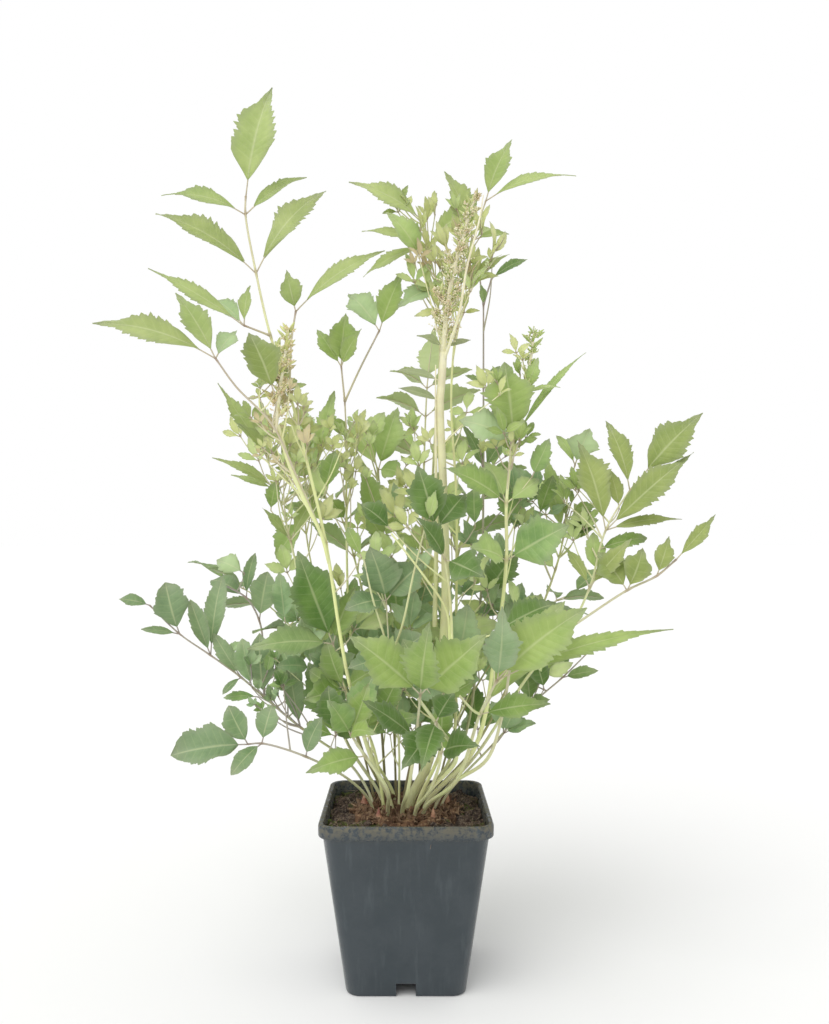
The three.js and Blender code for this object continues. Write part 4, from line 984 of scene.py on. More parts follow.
def blade_profile(s):
    return s ** 0.8 * (1 - s) ** 1.2 / (0.4 ** 0.8 * 0.6 ** 1.2)


def flat_samples(length, width):
    """Points spread over a leaflet, in its own directions: along it, to the side and up."""
    rows = math.ceil(length / SAMPLE_STEP)
    samples = []
    for i in range(1, rows + 1):
        s = STALK_SHARE + (1 - STALK_SHARE) * i / rows
        half = blade_profile(i / rows)
        columns = math.ceil(half * width / 2 / SAMPLE_STEP)
        for j in range(-columns, columns + 1):
            y = (half * j / columns if columns else 0) * 0.5 * width
            samples.append((s * length, y, BLADE_FOLD * abs(y) + BLADE_CAMBER * length * 4 * s * (1 - s)))
    return np.array(samples)


def about(v, axis, degrees):
    """The vector turned about a unit axis."""
    c, s = math.cos(math.radians(degrees)), math.sin(math.radians(degrees))
    return v * c + np.cross(axis, v) * s + axis * np.dot(axis, v) * (1 - c)


def turned(leaflet, in_plane, upwards):
    along = unit(about(about(leaflet["along"], leaflet["up"], in_plane), leaflet["side"], -upwards))
    return make_leaflet(leaflet["base"], along, leaflet["up"], leaflet["length"], leaflet["width"])


def settle_leaflets(leaflets, owner, gap):
    """The leaflets that find room, each in the first of its turns that does, and their places now taken."""
    kept = []
    for leaflet in leaflets:
        reach = leaflet["length"] + leaflet["width"] + CELL
        near = np.abs(taken["places"][:taken["count"]] - leaflet["base"]).max(1) < reach
        places, sizes = taken["places"][:taken["count"]][near], taken["sizes"][:taken["count"]][near]
        own = taken["owners"][:taken["count"]][near] == owner_numbers[owner]
        flat = flat_samples(leaflet["length"], leaflet["width"])
        best = None
        for turn in TURNS:
            placed = turned(leaflet, *turn)
            samples = placed["base"] + flat @ np.array((placed["along"], placed["side"], placed["up"]))
            by_the_pot = ((np.abs(samples[:, :2]).max(1) < RIM_HALF + POT_GAP)
                          & (samples[:, 2] < POT_HEIGHT + POT_GAP))
            if by_the_pot.any() or (gaps_to(samples, places[~own], sizes[~own]) <= gap).any():
                continue
            best = best or (placed, samples)
            past_stalk = samples[np.linalg.norm(samples - leaflet["base"], axis=1) >= OWN_REACH]
            if not len(past_stalk) or (gaps_to(past_stalk, places[own], sizes[own]) > OWN_GAP).all():
                best = (placed, samples)
                break
        if best:
            occupy(best[1], 0.0, owner)
            kept.append(best[0])
    return kept


# The flower heads take their room too: the axis of each, how wide it is, and its side sprays.
HEAD_FOOT = 1.9
HEAD_END = 0.8
SPRAY_RADIUS = 2.3
SPRAY_TURN = 2.4
FLOWER_HEADS = [
    dict(name="flower_head_center", axis=[(21, -12, 353), (24, -18, 381), (31, -19, 411), (38, -18, 434)],
         spread=15, sprays=19, seed=5),
    dict(name="flower_head_left", axis=[(-67, -48, 306), (-64, -46, 334), (-61, -44, 354)],
         spread=11, sprays=11, seed=7),
    dict(name="flower_head_right", axis=[(69, -8, 340), (71, -8, 352), (72, -7, 361)],
         spread=8, sprays=7, seed=9),
]


def grow_flower_head(spec):
    draw = random_from(spec["seed"])
    axis = [np.array(p, float) for p in spec["axis"]]
    sprays = []
    for i in range(spec["sprays"]):
        t = 0.03 + 0.92 * i / (spec["sprays"] - 1)
        tangent = unit(curve_point(axis, min(t + 1e-4, 1)) - curve_point(axis, t - 1e-4))
        radial = np.array((math.cos(SPRAY_TURN * i), math.sin(SPRAY_TURN * i), 0.0))
        way = unit(tangent * 0.8 + radial * 0.6)
        reach = spec["spread"] * (0.45 + 0.55 * (1 - t) ** 0.7) * (0.75 + 0.35 * next(draw))
        start = curve_point(axis, t)
        sprays.append((start, start + way * reach))
    return dict(name=spec["name"], stems=[dict(points=axis, foot=HEAD_FOOT, end=HEAD_END)], sprays=sprays)


fronds = [grow_frond(spec) for spec in FRONDS] + [grow_back_frond(spec) for spec in BACK_FRONDS]
flower_heads = [grow_flower_head(spec) for spec in FLOWER_HEADS]
for grown in fronds + flower_heads:
    for stem in grown["stems"]:
        spans = len(stem["points"]) - 1
        for k in range(spans):
            parts = math.ceil(np.linalg.norm(stem["points"][k + 1] - stem["points"][k]) / SAMPLE_STEP)
            occupy([curve_point(stem["points"], (k + j / parts) / spans) for j in range(parts)],
                   stem["foot"], grown["name"])
    for start, tip in grown.get("sprays", []):
        occupy([start + (tip - start) * t for t in (0.4, 0.7, 1)], SPRAY_RADIUS, grown["name"])
for frond in fronds:
    frond["leaflets"] = settle_leaflets(frond["leaflets"], frond["name"], LEAF_GAP)
for frond in fronds:
    frond["leaflets"] += settle_leaflets(frond["small"], frond["name"], SMALL_GAP)
    for number, skin in frond.get("single", {}).items():
        frond["leaflets"][number]["skin"] = skin

# Small leaves fill the inside of the clump: sprigs of three leaflets on thin side stalks, each from the nearest
# stem below it. A room is where they stand: its middle and half sizes, how many sprigs are tried, the shortest and
# longest blade and how wide it is for its length, how far they stand from their stem, the seed of their draws and
# the skins they are drawn from.
# Most of these skins are painted lighter than the leaves' own green, as painted light against the shade inside the
# clump; inner_deep is painted darker, as shade.
INNER_ROOMS = [
    ((12, 24, 172), (76, 46, 40), 94, (15, 34), 0.48, 24, 5, ("inner_blue", "inner_green", "inner_deep")),
    ((8, 26, 242), (70, 40, 44), 98, (9, 23), 0.42, 20, 17, ("inner_green", "olive", "inner_green", "inner_blue")),
    ((6, 28, 300), (60, 30, 26), 38, (8, 17), 0.4, 20, 19, ("olive", "inner_green", "inner_green")),
    ((-37, 14, 292), (22, 10, 21), 64, (6, 13), 0.5, 9, 23, ("olive", "inner_green")),
    ((-74, 14, 294), (28, 20, 40), 74, (8, 16), 0.34, 14, 29, ("olive", "inner_green", "olive")),
    ((-67, -40, 314), (20, 9, 36), 54, (6, 12), 0.38, 6, 30, ("olive", "brown", "olive", "young")),
    ((-52, 20, 196), (34, 26, 38), 34, (10, 20), 0.46, 20, 31, ("inner_blue", "inner_green")),
    ((-78, 8, 158), (17, 12, 20), 24, (6, 13), 0.46, 12, 33, ("inner_blue", "inner_deep")),
    ((62, 18, 226), (34, 24, 46), 44, (10, 22), 0.4, 20, 37, ("inner_green", "inner_blue")),
    ((70, 12, 264), (17, 12, 15), 24, (10, 20), 0.42, 14, 38, ("inner_green", "inner_blue")),
    ((58, -14, 322), (17, 9, 36), 34, (7, 16), 0.38, 7, 39, ("light", "olive")),
    ((102, 4, 260), (16, 14, 24), 26, (8, 15), 0.36, 9, 41, ("inner_green", "light")),
    ((10, 2, 146), (60, 40, 26), 64, (16, 30), 0.48, 16, 43, ("mid", "inner_deep", "inner_blue")),
    ((23, -4, 402), (27, 13, 32), 90, (7, 18), 0.3, 7, 47, ("olive", "inner_green", "olive", "brown")),
    ((-6, 12, 432), (12, 8, 12), 6, (7, 13), 0.36, 8, 49, ("olive", "young")),
]
# The clump is open in places and shows the light behind it: how far across and up, and the radius, each as it
# stands from the front, for an eye level with the foliage and this far away.
OPENINGS = [(84, 231, 12), (79, 313, 10), (-91, 276, 9), (48, 253, 9), (82, 333, 9), (-40, 236, 11),
            (103, 167, 9), (-56, 334, 5), (76, 141, 11), (70, 224, 9), (-17, 289, 7), (-18, 326, 7)]
EYE_DISTANCE = 514.0
EYE_HEIGHT = 245.0
# Larger leaves inside the clump, each on a side stalk from the nearest stem: foot, heading, lean, length, width
# and skin.
# The deep and inner_deep leaves are painted shade: darker greens set where the clump lies in shadow.
INNER_LEAVES = [
    ((54, 2, 190), 29, 4, 37, 17, "deep"), ((47, 10, 211), 60, -4, 32, 17, "deep"),
    ((-8, -26, 250), 138, 8, 22, 14, "deep"), ((-37, 8, 134), 120, 6, 44, 21, "inner_deep"),
    ((-60, 14, 152), 116, 0, 36, 15, "inner_blue"), ((106, -12, 226), 92, 8, 25, 12, "fresh"),
    ((-67, -55, 319), 111, -4, 35, 17, "ripe"), ((30, 6, 176), 74, 10, 34, 18, "inner_blue"),
    ((-4, 16, 196), 100, -6, 40, 19, "inner_deep"), ((-46, 10, 268), 112, 4, 22, 10, "inner_green"),
    ((8, 10, 262), 64, 4, 26, 12, "mid"), ((8, -8, 404), 128, 16, 30, 15, "fresh"),
    ((-70, 8, 196), 96, 0, 30, 12, "inner_blue"), ((78, 14, 258), 74, 6, 26, 11, "mid"),
    ((66, 6, 250), 118, -8, 26, 12, "inner_deep"), ((47, -35, 195), 30, -6, 40, 18, "deep"),
    ((94, 8, 246), 35, 0, 17, 9, "deep"), ((96, 8, 261), 18, 0, 15, 8, "mid"),
    ((12, -33, 255), 70, 4, 17, 7, "fresh"), ((-24, -26, 235), 118, 6, 18, 8, "mid"),
    ((53, -58, 181), 96, 4, 16, 7, "light"), ((-23, 20, 301), 64, 0, 22, 12, "fresh"),
    ((108, -8, 239), 16, 4, 28, 10, "mid"), ((-87, 16, 152), 178, 0, 21, 6, "inner_deep"),
    ((-91, 18, 157), 101, 6, 30, 13, "inner_blue"), ((-81, 10, 167), 74, 10, 15, 7, "inner_deep"),
    ((-108, 24, 176), 38, 10, 14, 6, "inner_blue"), ((-46, 2, 272), 78, 6, 24, 11, "mid"),
    ((-80, 18, 262), 84, 6, 18, 9, "mid"), ((40, 6, 252), 96, 4, 22, 11, "inner_deep"),
    ((82, 20, 156), 108, 4, 20, 12, "deep"), ((-99, 38, 224), 152, -6, 20, 13, "pale"),
    ((-46, -14, 149), 84, 6, 34, 20, "deep"), ((-38, -24, 140), 104, 10, 26, 16, "deep"),
    ((-28, -26, 146), 70, 8, 28, 16, "inner_deep"), ((71, -6, 280), 62, 4, 24, 12, "inner_deep"),
    ((120, -8, 262), 100, 4, 24, 9, "ripe")]
LEAF_STALK = 12
STALK_SAG = 1.5
LOWEST_SPRIG = 26.0
CROWDED_REACH = 9.0
CROWDED_COST = 7
stem_places = []
for frond in fronds:
    frond["sprigs"] = []
    for stem in frond["stems"]:
        steps = (len(stem["points"]) - 1) * 6
        places = [curve_point(stem["points"], k / steps) for k in range(steps)]
        stem_places += [(place, frond) for place in places if place[2] > SOIL_LEVEL + LOWEST_SPRIG]
stem_spots = np.array([place for place, _ in stem_places])
crowd = np.zeros(len(stem_spots))


def nearest_stem(tip, far):
    """The place on a stem from which a side stalk that long would best reach the tip from below."""
    apart = np.linalg.norm(stem_spots - tip, axis=1)
    below = np.maximum(0, stem_spots[:, 2] - tip[2] + 8)
    aside = np.linalg.norm((stem_spots - tip)[:, :2], axis=1)
    below += 0.6 * np.maximum(0, aside - 1.1 * (tip[2] - stem_spots[:, 2]))
    return stem_places[int(np.argmin(np.abs(apart - far) + 2.5 * below + crowd))]


def add_sprig(frond, path, leaflets, skin, fine):
    kept = settle_leaflets(leaflets, frond["name"], SMALL_GAP)
    if len(kept) > len(leaflets) / 2:
        crowd[np.linalg.norm(stem_spots - path[0], axis=1) < CROWDED_REACH] += CROWDED_COST
        frond["sprigs"].append(dict(stem=dict(points=path, foot=0.65, end=0.4), leaflets=kept, skin=skin, fine=fine))


for foot, heading, lean, length, width, skin in INNER_LEAVES:
    tip = np.array(foot, float)
    start, frond = nearest_stem(tip, LEAF_STALK)
    path = [start, 0.5 * (start + tip) - UP * STALK_SAG, tip]
    add_sprig(frond, path, [leaflet_from(path, 2, heading_vector(heading, lean), FRONT_FACING, length, width)],
              skin, True)
for room, half, sprigs, (shortest, longest), wide, stalk, seed, skins in INNER_ROOMS:
    draw = random_from(seed)
    for _ in range(sprigs):
        offset = np.array([2 * next(draw) - 1 for _ in range(3)])
        wobble = np.array([next(draw) - 0.5 for _ in range(3)])
        length = shortest + (longest - shortest) * next(draw)
        spread = 48 + 26 * next(draw)
        far = stalk * (0.6 + 0.9 * next(draw))
        skin = skins[int(len(skins) * next(draw))]
        tip = np.array(room) + offset * np.array(half)
        nearer = EYE_DISTANCE / (EYE_DISTANCE + tip[1])
        across, up = tip[0] * nearer, EYE_HEIGHT + (tip[2] - EYE_HEIGHT) * nearer
        in_the_open = any(math.hypot(across - x, up - z) < radius + 0.35 * length for x, z, radius in OPENINGS)
        if np.linalg.norm(offset) > 1 or in_the_open:
            continue
        start, frond = nearest_stem(tip, far)
        path = [start, 0.5 * (start + tip) + 3 * wobble - UP * STALK_SAG, tip]
        ahead = unit(unit(tip - path[1]) + 0.5 * UP)
        facing = unit(FRONT_FACING + 0.9 * wobble)
        width = wide * length
        ways = [(ahead, 1.0), (about(ahead, facing, spread), 0.82), (about(ahead, facing, -spread), 0.82)]
        add_sprig(frond, path, [leaflet_from(path, 2, unit(way + 0.3 * wobble), facing, size * length, size * width)
                                for way, size in ways], skin, False)


SHARP_LEAF_EDGE = 55.0


class Parts:
    """Points, faces and marks gathered for one mesh, in millimetres."""

    def __init__(self):
        self.points, self.faces, self.skins = [], [], []
        self.marks = {name: [] for name in ("along", "across", "vein", "tint", "under", "node")}

    def add(self, points, faces, skin, **marks):
        first = len(self.points)
        self.points.extend(points)
        self.faces.extend([tuple(first + i for i in face) for face in faces])
        self.skins.extend([skin] * len(faces))
        for name, values in self.marks.items():
            given = marks.get(name, 0.0)
            values.extend([given] * len(points) if np.isscalar(given) else given)

    def build(self, name, skins):
        piece = new_piece(name, self.points, self.faces)
        for skin in skins:
            piece.data.materials.append(skin)
        piece.data.polygons.foreach_set("material_index", self.skins)
        for mark, values in self.marks.items():
            layer = piece.data.attributes.new(mark, "FLOAT", "POINT")
            layer.data.foreach_set("value", np.array(values, np.float32))
        piece.data.set_sharp_from_angle(angle=math.radians(SHARP_LEAF_EDGE))
        return piece


STEM, BLADE = 0, 1
OTHER_SKINS = 2


def add_tube(parts, centres, radii, sides, skin=STEM, **marks):
    """A closed tube along the centres, with a ring of points round each of them."""
    points = []
    sideways = unit(np.cross(centres[1] - centres[0], (0.31, -0.88, 0.36)))
    for k, (middle, radius) in enumerate(zip(centres, radii)):
        before, after = centres[max(k - 1, 0)], centres[min(k + 1, len(centres) - 1)]
        ahead = unit(after - before)
        sideways = unit(sideways - ahead * np.dot(sideways, ahead))
        other = np.cross(ahead, sideways)
        for i in range(sides):
            angle = 2 * math.pi * i / sides
            points.append(middle + radius * (math.cos(angle) * sideways + math.sin(angle) * other))
    spread = {name: (value if np.isscalar(value) else np.repeat(value, sides)) for name, value in marks.items()}
    parts.add(points, ring_faces(len(centres), sides), skin, **spread)


COLUMNS = (-1.0, -0.62, -0.3, 0.0, 0.3, 0.62, 1.0)
FEW_COLUMNS = (-1.0, -0.5, 0.0, 0.5, 1.0)
LEAST_COLUMNS = (-1.0, 0.0, 1.0)
LEAST_LENGTH = 15.0
SLENDER_SHARE = 0.24
FIRST_TOOTH = 0.3
LAST_TOOTH = 0.92
TOOTH_PARTS = ((0.0, -0.13), (0.3, 0.0), (0.42, -0.03), (0.72, 0.1), (0.93, 0.17))
FEW_TOOTH_PARTS = ((0.0, -0.12), (0.45, 0.02), (0.92, 0.16))
# For each tone, how fast a leaflet widens from its foot and narrows to its tip, how much it is pinched in before
# the tip, and how deep its teeth are cut.
LEAF_SHAPES = {"young": (1.15, 1.3, 0.42, 0.95), "light": (1.05, 1.15, 0.34, 1.0), "mid": (1.05, 1.15, 0.34, 0.95),
               "dark": (1.0, 1.05, 0.2, 0.8), "blue": (0.95, 0.84, 0.0, 0.55), "stalk": (0.9, 1.2, 0.0, 0.3)}
PINCH_PLACE = 0.8
PINCH_REACH = 0.11
FULL_TEETH_WIDTH = 19.0
RIB_DROP = 0.28
RIB_FOOT = 0.42
RIB_THINS_BY = 0.36
TOOTH_SPACING = 7.2
LOBED_WIDTH = 16.0


def blade_edge(teeth, fine, draw):
    """Rows across the blade as (place along its edge, how far the edge stands out, vein count). Below the first
    tooth the edge is plain. Each tooth rises slowly, with a smaller one on its back, and breaks off towards the
    tip."""
    plain = (0.0, 0.06, 0.12, 0.18, 0.24) if fine else (0.0, 0.1, 0.2)
    rows = [(t, 0.0, -1 + t / FIRST_TOOTH) for t in plain]
    step = (LAST_TOOTH - FIRST_TOOTH) / teeth
    for i in range(teeth):
        size = (0.45 + 1.0 * next(draw)) * min(1.0, 0.5 + 0.35 * i)
        rows += [(FIRST_TOOTH + (i + part) * step, stands * size, i + part)
                 for part, stands in (TOOTH_PARTS if fine else FEW_TOOTH_PARTS)]
    return rows + [(LAST_TOOTH, -0.05, teeth), (0.965, 0.0, teeth + 0.5), (1.0, 0.0, teeth + 0.9)]


def add_leaflet(parts, leaflet, shape, draw, skin=BLADE, fine=True):
    """A leaflet: the toothed blade, a thin closed shell that droops and twists a little, and its stalk and
    midrib, which stand out underneath. Its base is a wedge and its tip is drawn out."""
    length, width = leaflet["length"], leaflet["width"]
    columns = COLUMNS if fine else FEW_COLUMNS if length > LEAST_LENGTH else LEAST_COLUMNS
    teeth = max(3, min(8, round(length / TOOTH_SPACING)))
    droop, bend, twist = 0.02 + 0.15 * next(draw), 0.22 * (next(draw) - 0.5), 0.9 * (next(draw) - 0.5)
    wave, phase, pleat = (0.02 + 0.05 * next(draw)) * width, 6.28 * next(draw), 0.012 * width
    foot_curve, tip_curve = shape[0] * (0.9 + 0.2 * next(draw)), shape[1] * (0.88 + 0.24 * next(draw))
    tip_curve *= 1 + 3.5 * max(0.0, SLENDER_SHARE - width / length)
    widest = foot_curve / (foot_curve + tip_curve)
    fullest = widest ** foot_curve * (1 - widest) ** tip_curve
    halves = {side: 0.5 * width * (0.9 + 0.2 * next(draw)) for side in (-1, 1)}
    jagged = shape[3] * min(1.0, FULL_TEETH_WIDTH / width)
    lobes, swing = (0.1 if width > LOBED_WIDTH else 0.03), {side: 6.28 * next(draw) for side in (-1, 1)}
    tint, fold = next(draw), BLADE_FOLD * (0.5 + 1.4 * next(draw))

    def place(s, y, lift):
        """A point of the bent leaflet from its place in the flat one."""
        t = max(0.0, s - STALK_SHARE)
        y += bend * length * t * t
        lift -= droop * length * t ** 2.2
        turn = twist * t
        y, lift = y * math.cos(turn) - lift * math.sin(turn), y * math.sin(turn) + lift * math.cos(turn)
        lift += BLADE_CAMBER * length * 4 * s * (1 - s)
        return leaflet["base"] + leaflet["along"] * s * length + leaflet["side"] * y + leaflet["up"] * lift

    edges = {side: blade_edge(teeth, fine, draw) for side in (-1, 1)}
    rows = edges[1]
    top, along, across, veins = [], [], [], []
    for k, (t, _, vein) in enumerate(rows):
        full = t ** foot_curve * (1 - t) ** tip_curve / fullest
        full *= 1 - shape[2] * math.exp(-((t - PINCH_PLACE) / PINCH_REACH) ** 2)
        at_midrib = t * (1 - 0.5 * (1 - t))
        for c in columns:
            side = 1 if c > 0 else -1
            half = max(0.2, halves[side] * full * (1 + lobes * math.sin(14 * t + swing[side])))
            stands = 1 + edges[side][k][1] * jagged if abs(c) == 1 else 1
            s = STALK_SHARE + (1 - STALK_SHARE) * (at_midrib + (t - at_midrib) * abs(c))
            y = c * half * stands
            lift = fold * abs(y) + wave * math.sin(9 * t + phase + 2 * c) * c * c
            lift += pleat * (0.5 - 0.5 * math.cos(2 * math.pi * vein)) * (1 - abs(2 * abs(c) - 1)) * 1.6
            top.append(place(s, y, lift))
        along += [t] * len(columns)
        across += columns
        veins += [vein] * len(columns)
    below = [p - BLADE_THICKNESS * leaflet["up"] for p in top]
    count, wide = len(top), len(columns)
    faces = []
    for k in range(len(rows) - 1):
        for j in range(wide - 1):
            a = k * wide + j
            faces.append((a, a + wide, a + wide + 1, a + 1))
            faces.append((count + a, count + a + 1, count + a + wide + 1, count + a + wide))
        for a, b in ((k * wide, (k + 1) * wide), ((k + 2) * wide - 1, (k + 1) * wide - 1)):
            faces.append((a, count + a, count + b, b))
    last = (len(rows) - 1) * wide
    for j in range(wide - 1):
        faces.append((j, j + 1, count + j + 1, count + j))
        faces.append((last + j + 1, last + j, count + last + j, count + last + j + 1))
    parts.add(top + below, faces, skin, tint=tint, along=along * 2, across=across * 2, vein=veins * 2,
              under=[0.0] * count + [1.0] * count)

    stations = (0, 0.05, STALK_SHARE, 0.25, 0.4, 0.55, 0.7, 0.85) if fine else (0, STALK_SHARE, 0.5, 0.8)
    add_tube(parts, [place(s, 0, -RIB_DROP) for s in stations], [RIB_FOOT - RIB_THINS_BY * s for s in stations],
             5 if fine else 3, tint=tint, along=0.9, node=np.array([0.8, *(0.0 for _ in stations[1:])]))


STEM_STEP = 3.5
JOINT_REACH = 1.5
JOINT_SWELL = 0.3


def add_stem(parts, stem, joints, sides, reach):
    """A stem that thins evenly from its foot, swollen and darkened where leaves join it. Reach is how far up the
    frond it starts and ends, which sets its colour."""
    points = stem["points"]
    spans = len(points) - 1
    lengths = [np.linalg.norm(b - a) for a, b in zip(points, points[1:])]
    centres, radii, along, node = [], [], [], []
    for k in range(spans):
        parts_here = max(2, math.ceil(lengths[k] / STEM_STEP))
        for j in range(parts_here + (k == spans - 1)):
            t = (k + j / parts_here) / spans
            middle = curve_point(points, t)
            near = min([np.linalg.norm(middle - joint) for joint in joints] + [99])
            swollen = math.exp(-(near / JOINT_REACH) ** 2)
            centres.append(middle)
            slim = 1.0 if stem.get("stout") else 0.84 - 0.16 * t
            radii.append((stem["foot"] + (stem["end"] - stem["foot"]) * t) * slim * (1 + JOINT_SWELL * swollen))
            along.append(reach[0] + (reach[1] - reach[0]) * t)
            node.append(swollen)
    add_tube(parts, centres, radii, sides, along=np.array(along), node=np.array(node))


def living_skin(name, roughness, specular, radius, scale):
    """The start of a skin that light glows through."""
    return new_material(name, roughness, Specular_IOR_Level=specular, Subsurface_Weight=0.2,
                        Subsurface_Radius=radius, Subsurface_Scale=scale)


def mark_of(tree, mark):
    return add_node(tree, "ShaderNodeAttribute", attribute_name=mark).outputs["Fac"]


def vein_group():
    """Where a leaflet's veins run, from its marks: the midrib, the side veins and the fine net between them."""
    group = new_group("leaf_veins", "ShaderNodeTree", {}, dict.fromkeys(("Midrib", "Veins", "Net"), "Float"))
    across, vein = mark_of(group, "across"), mark_of(group, "vein")
    aside = sum_up(group, "ABSOLUTE", across, 0.0)
    line = band(group, sum_up(group, "PINGPONG", vein, 0.5), 0.1, 0.0)
    spot = add_node(group, "ShaderNodeCombineXYZ", {"X": part_of(group, across, 5.0), "Y": part_of(group, vein, 2.6)})
    cells = add_node(group, "ShaderNodeTexVoronoi", {"Vector": spot.outputs[0], "Scale": 1.0},
                     feature="DISTANCE_TO_EDGE").outputs["Distance"]
    add_node(group, "NodeGroupOutput", {"Midrib": band(group, aside, 0.1, 0.0), "Net": band(group, cells, 0.09, 0.0),
                                        "Veins": part_of(group, line, band(group, aside, 1.0, 0.55))})
    return group


LEAF_VEINS = vein_group()


def leaf_skin(name, fresh, deep, under):
    """Leaf tissue: mottled between two greens, a little different from leaflet to leaflet, with paler veins and a
    paler underside, and greyed at its edge and tip; light glows through it."""
    material, tree, shader = living_skin(name, 0.5, 0.3, (0.9, 1.0, 0.5), 0.0007)
    veins = add_node(tree, "ShaderNodeGroup", node_tree=LEAF_VEINS).outputs
    tone = sum_up(tree, "ADD", part_of(tree, mark_of(tree, "tint"), 0.5),
                  part_of(tree, place_patches(tree, 62, 0.5, 0.2), 0.6))
    outer = band(tree, sum_up(tree, "ABSOLUTE", mark_of(tree, "across"), 0.0), 0.55, 1.05)
    tip = band(tree, mark_of(tree, "along"), 0.68, 1.05)
    greyed = sum_up(tree, "MAXIMUM", part_of(tree, outer, 0.36), part_of(tree, tip, 0.62))
    green = colour_mix(tree, greyed, colour_mix(tree, tone, fresh, deep), srgb(148, 153, 130))
    lines = sum_up(tree, "MAXIMUM", part_of(tree, veins["Midrib"], 0.42), part_of(tree, veins["Veins"], 0.12))
    lines = sum_up(tree, "MAXIMUM", lines, part_of(tree, veins["Net"], 0.04))
    veined = colour_mix(tree, lines, green, srgb(210, 217, 168))
    pale = part_of(tree, mark_of(tree, "under"), 0.6)
    set_inputs(tree, shader, {"Base Color": colour_mix(tree, pale, veined, under),
                              "Normal": bump_from(tree, veins["Midrib"], 0.3, 0.0002)})
    return material


def stem_skin(name, stops):
    """Stem skin: cream and faintly pink at the foot, yellow-green above, mauve up in the leaves and brown at the
    joints, with fine ribs."""
    material, tree, shader = living_skin(name, 0.45, 0.35, (0.8, 0.8, 0.4), 0.001)
    ramp = add_node(tree, "ShaderNodeValToRGB", {"Fac": mark_of(tree, "along")})
    elements = ramp.color_ramp.elements
    while len(elements) < len(stops):
        elements.new(0.5)
    for element, (position, colour) in zip(elements, stops):
        element.position, element.color = position, srgb(*colour)
    flush = part_of(tree, place_patches(tree, 55, 0.55, 0.12), 0.26)
    flushed = colour_mix(tree, flush, ramp.outputs["Color"], srgb(182, 160, 136))
    dark = part_of(tree, mark_of(tree, "node"), 0.5)
    set_inputs(tree, shader, {"Base Color": colour_mix(tree, dark, flushed, srgb(132, 98, 72)),
                              "Normal": bump_from(tree, place_grain(tree, 1500, 2, 0.04), 0.3, 0.0004)})
    return material


# The two greens each leaf skin is mottled between, and its underside. The inner_green, inner_blue, olive and brown
# skins keep their own hues but are painted lighter, as painted light against the shade inside the clump; deep and
# inner_deep are darker greens, painted shade for leaves that lie in the clump's shadow.
LEAF_COLOURS = {
    "young": ((184, 198, 132), (152, 171, 102), (186, 198, 152)),
    "sunned": ((186, 199, 132), (154, 174, 102), (186, 198, 150)),
    "grown": ((175, 187, 122), (144, 161, 96), (182, 193, 148)),
    "ripe": ((168, 179, 108), (134, 150, 82), (178, 188, 140)),
    "light": ((172, 191, 114), (136, 162, 84), (172, 188, 136)),
    "fresh": ((194, 211, 142), (154, 180, 104), (188, 204, 154)),
    "mid": ((160, 183, 106), (114, 144, 68), (164, 182, 130)),
    "deep": ((112, 142, 72), (80, 112, 50), (134, 158, 106)),
    "deep_fresh": ((128, 159, 84), (92, 127, 58), (146, 168, 116)),
    "dark": ((152, 174, 114), (106, 135, 74), (158, 176, 134)),
    "blue": ((150, 170, 128), (110, 138, 92), (162, 180, 150)),
    "blue_deep": ((136, 158, 118), (100, 128, 88), (150, 168, 138)),
    "blue_light": ((172, 192, 152), (140, 166, 120), (176, 192, 160)),
    "stalk": ((168, 176, 136), (144, 156, 112), (176, 184, 148)),
    "pale": ((188, 208, 160), (166, 190, 138), (194, 210, 168)),
    "inner_green": ((222, 234, 170), (180, 203, 130), (218, 229, 180)),
    "inner_blue": ((188, 211, 162), (130, 161, 113), (190, 207, 174)),
    "inner_deep": ((160, 186, 115), (108, 142, 79), (168, 189, 140)),
    "olive": ((226, 229, 170), (192, 202, 130), (218, 221, 174)),
    "brown": ((222, 210, 170), (202, 186, 144), (218, 208, 172)),
}
leaf_skins = {name: leaf_skin("leaf_" + name, *(srgb(*colour) for colour in colours))
              for name, colours in LEAF_COLOURS.items()}
# Stem colours from a stem's foot up to its last leaflets. The shaded stems are painted darker low down, as painted
# shade for the fronds at the back of the clump.
STEM_COLOURS = {
    "plain": ((0.07, (208, 207, 174)), (0.35, (212, 219, 160)), (0.7, (222, 223, 182)), (1.0, (192, 180, 162))),
    "bright": ((0.07, (212, 213, 168)), (0.3, (230, 237, 166)), (0.6, (236, 240, 182)), (0.78, (214, 208, 176)),
               (1.0, (190, 178, 162))),
    "mauve": ((0.07, (202, 200, 170)), (0.3, (190, 195, 148)), (0.6, (184, 177, 162)), (1.0, (168, 158, 154))),
    "shaded": ((0.1, (142, 134, 98)), (0.28, (168, 168, 118)), (0.5, (208, 214, 154)), (0.7, (214, 214, 170)),
               (1.0, (188, 176, 158))),
    "cream": ((0.1, (204, 206, 158)), (0.4, (218, 221, 164)), (0.62, (236, 233, 192)), (1.0, (242, 237, 210))),
}
STEM_FOOT = (0.0, (158, 128, 104))
stem_skins = {name: stem_skin("stem_" + name, (STEM_FOOT, *stops)) for name, stops in STEM_COLOURS.items()}

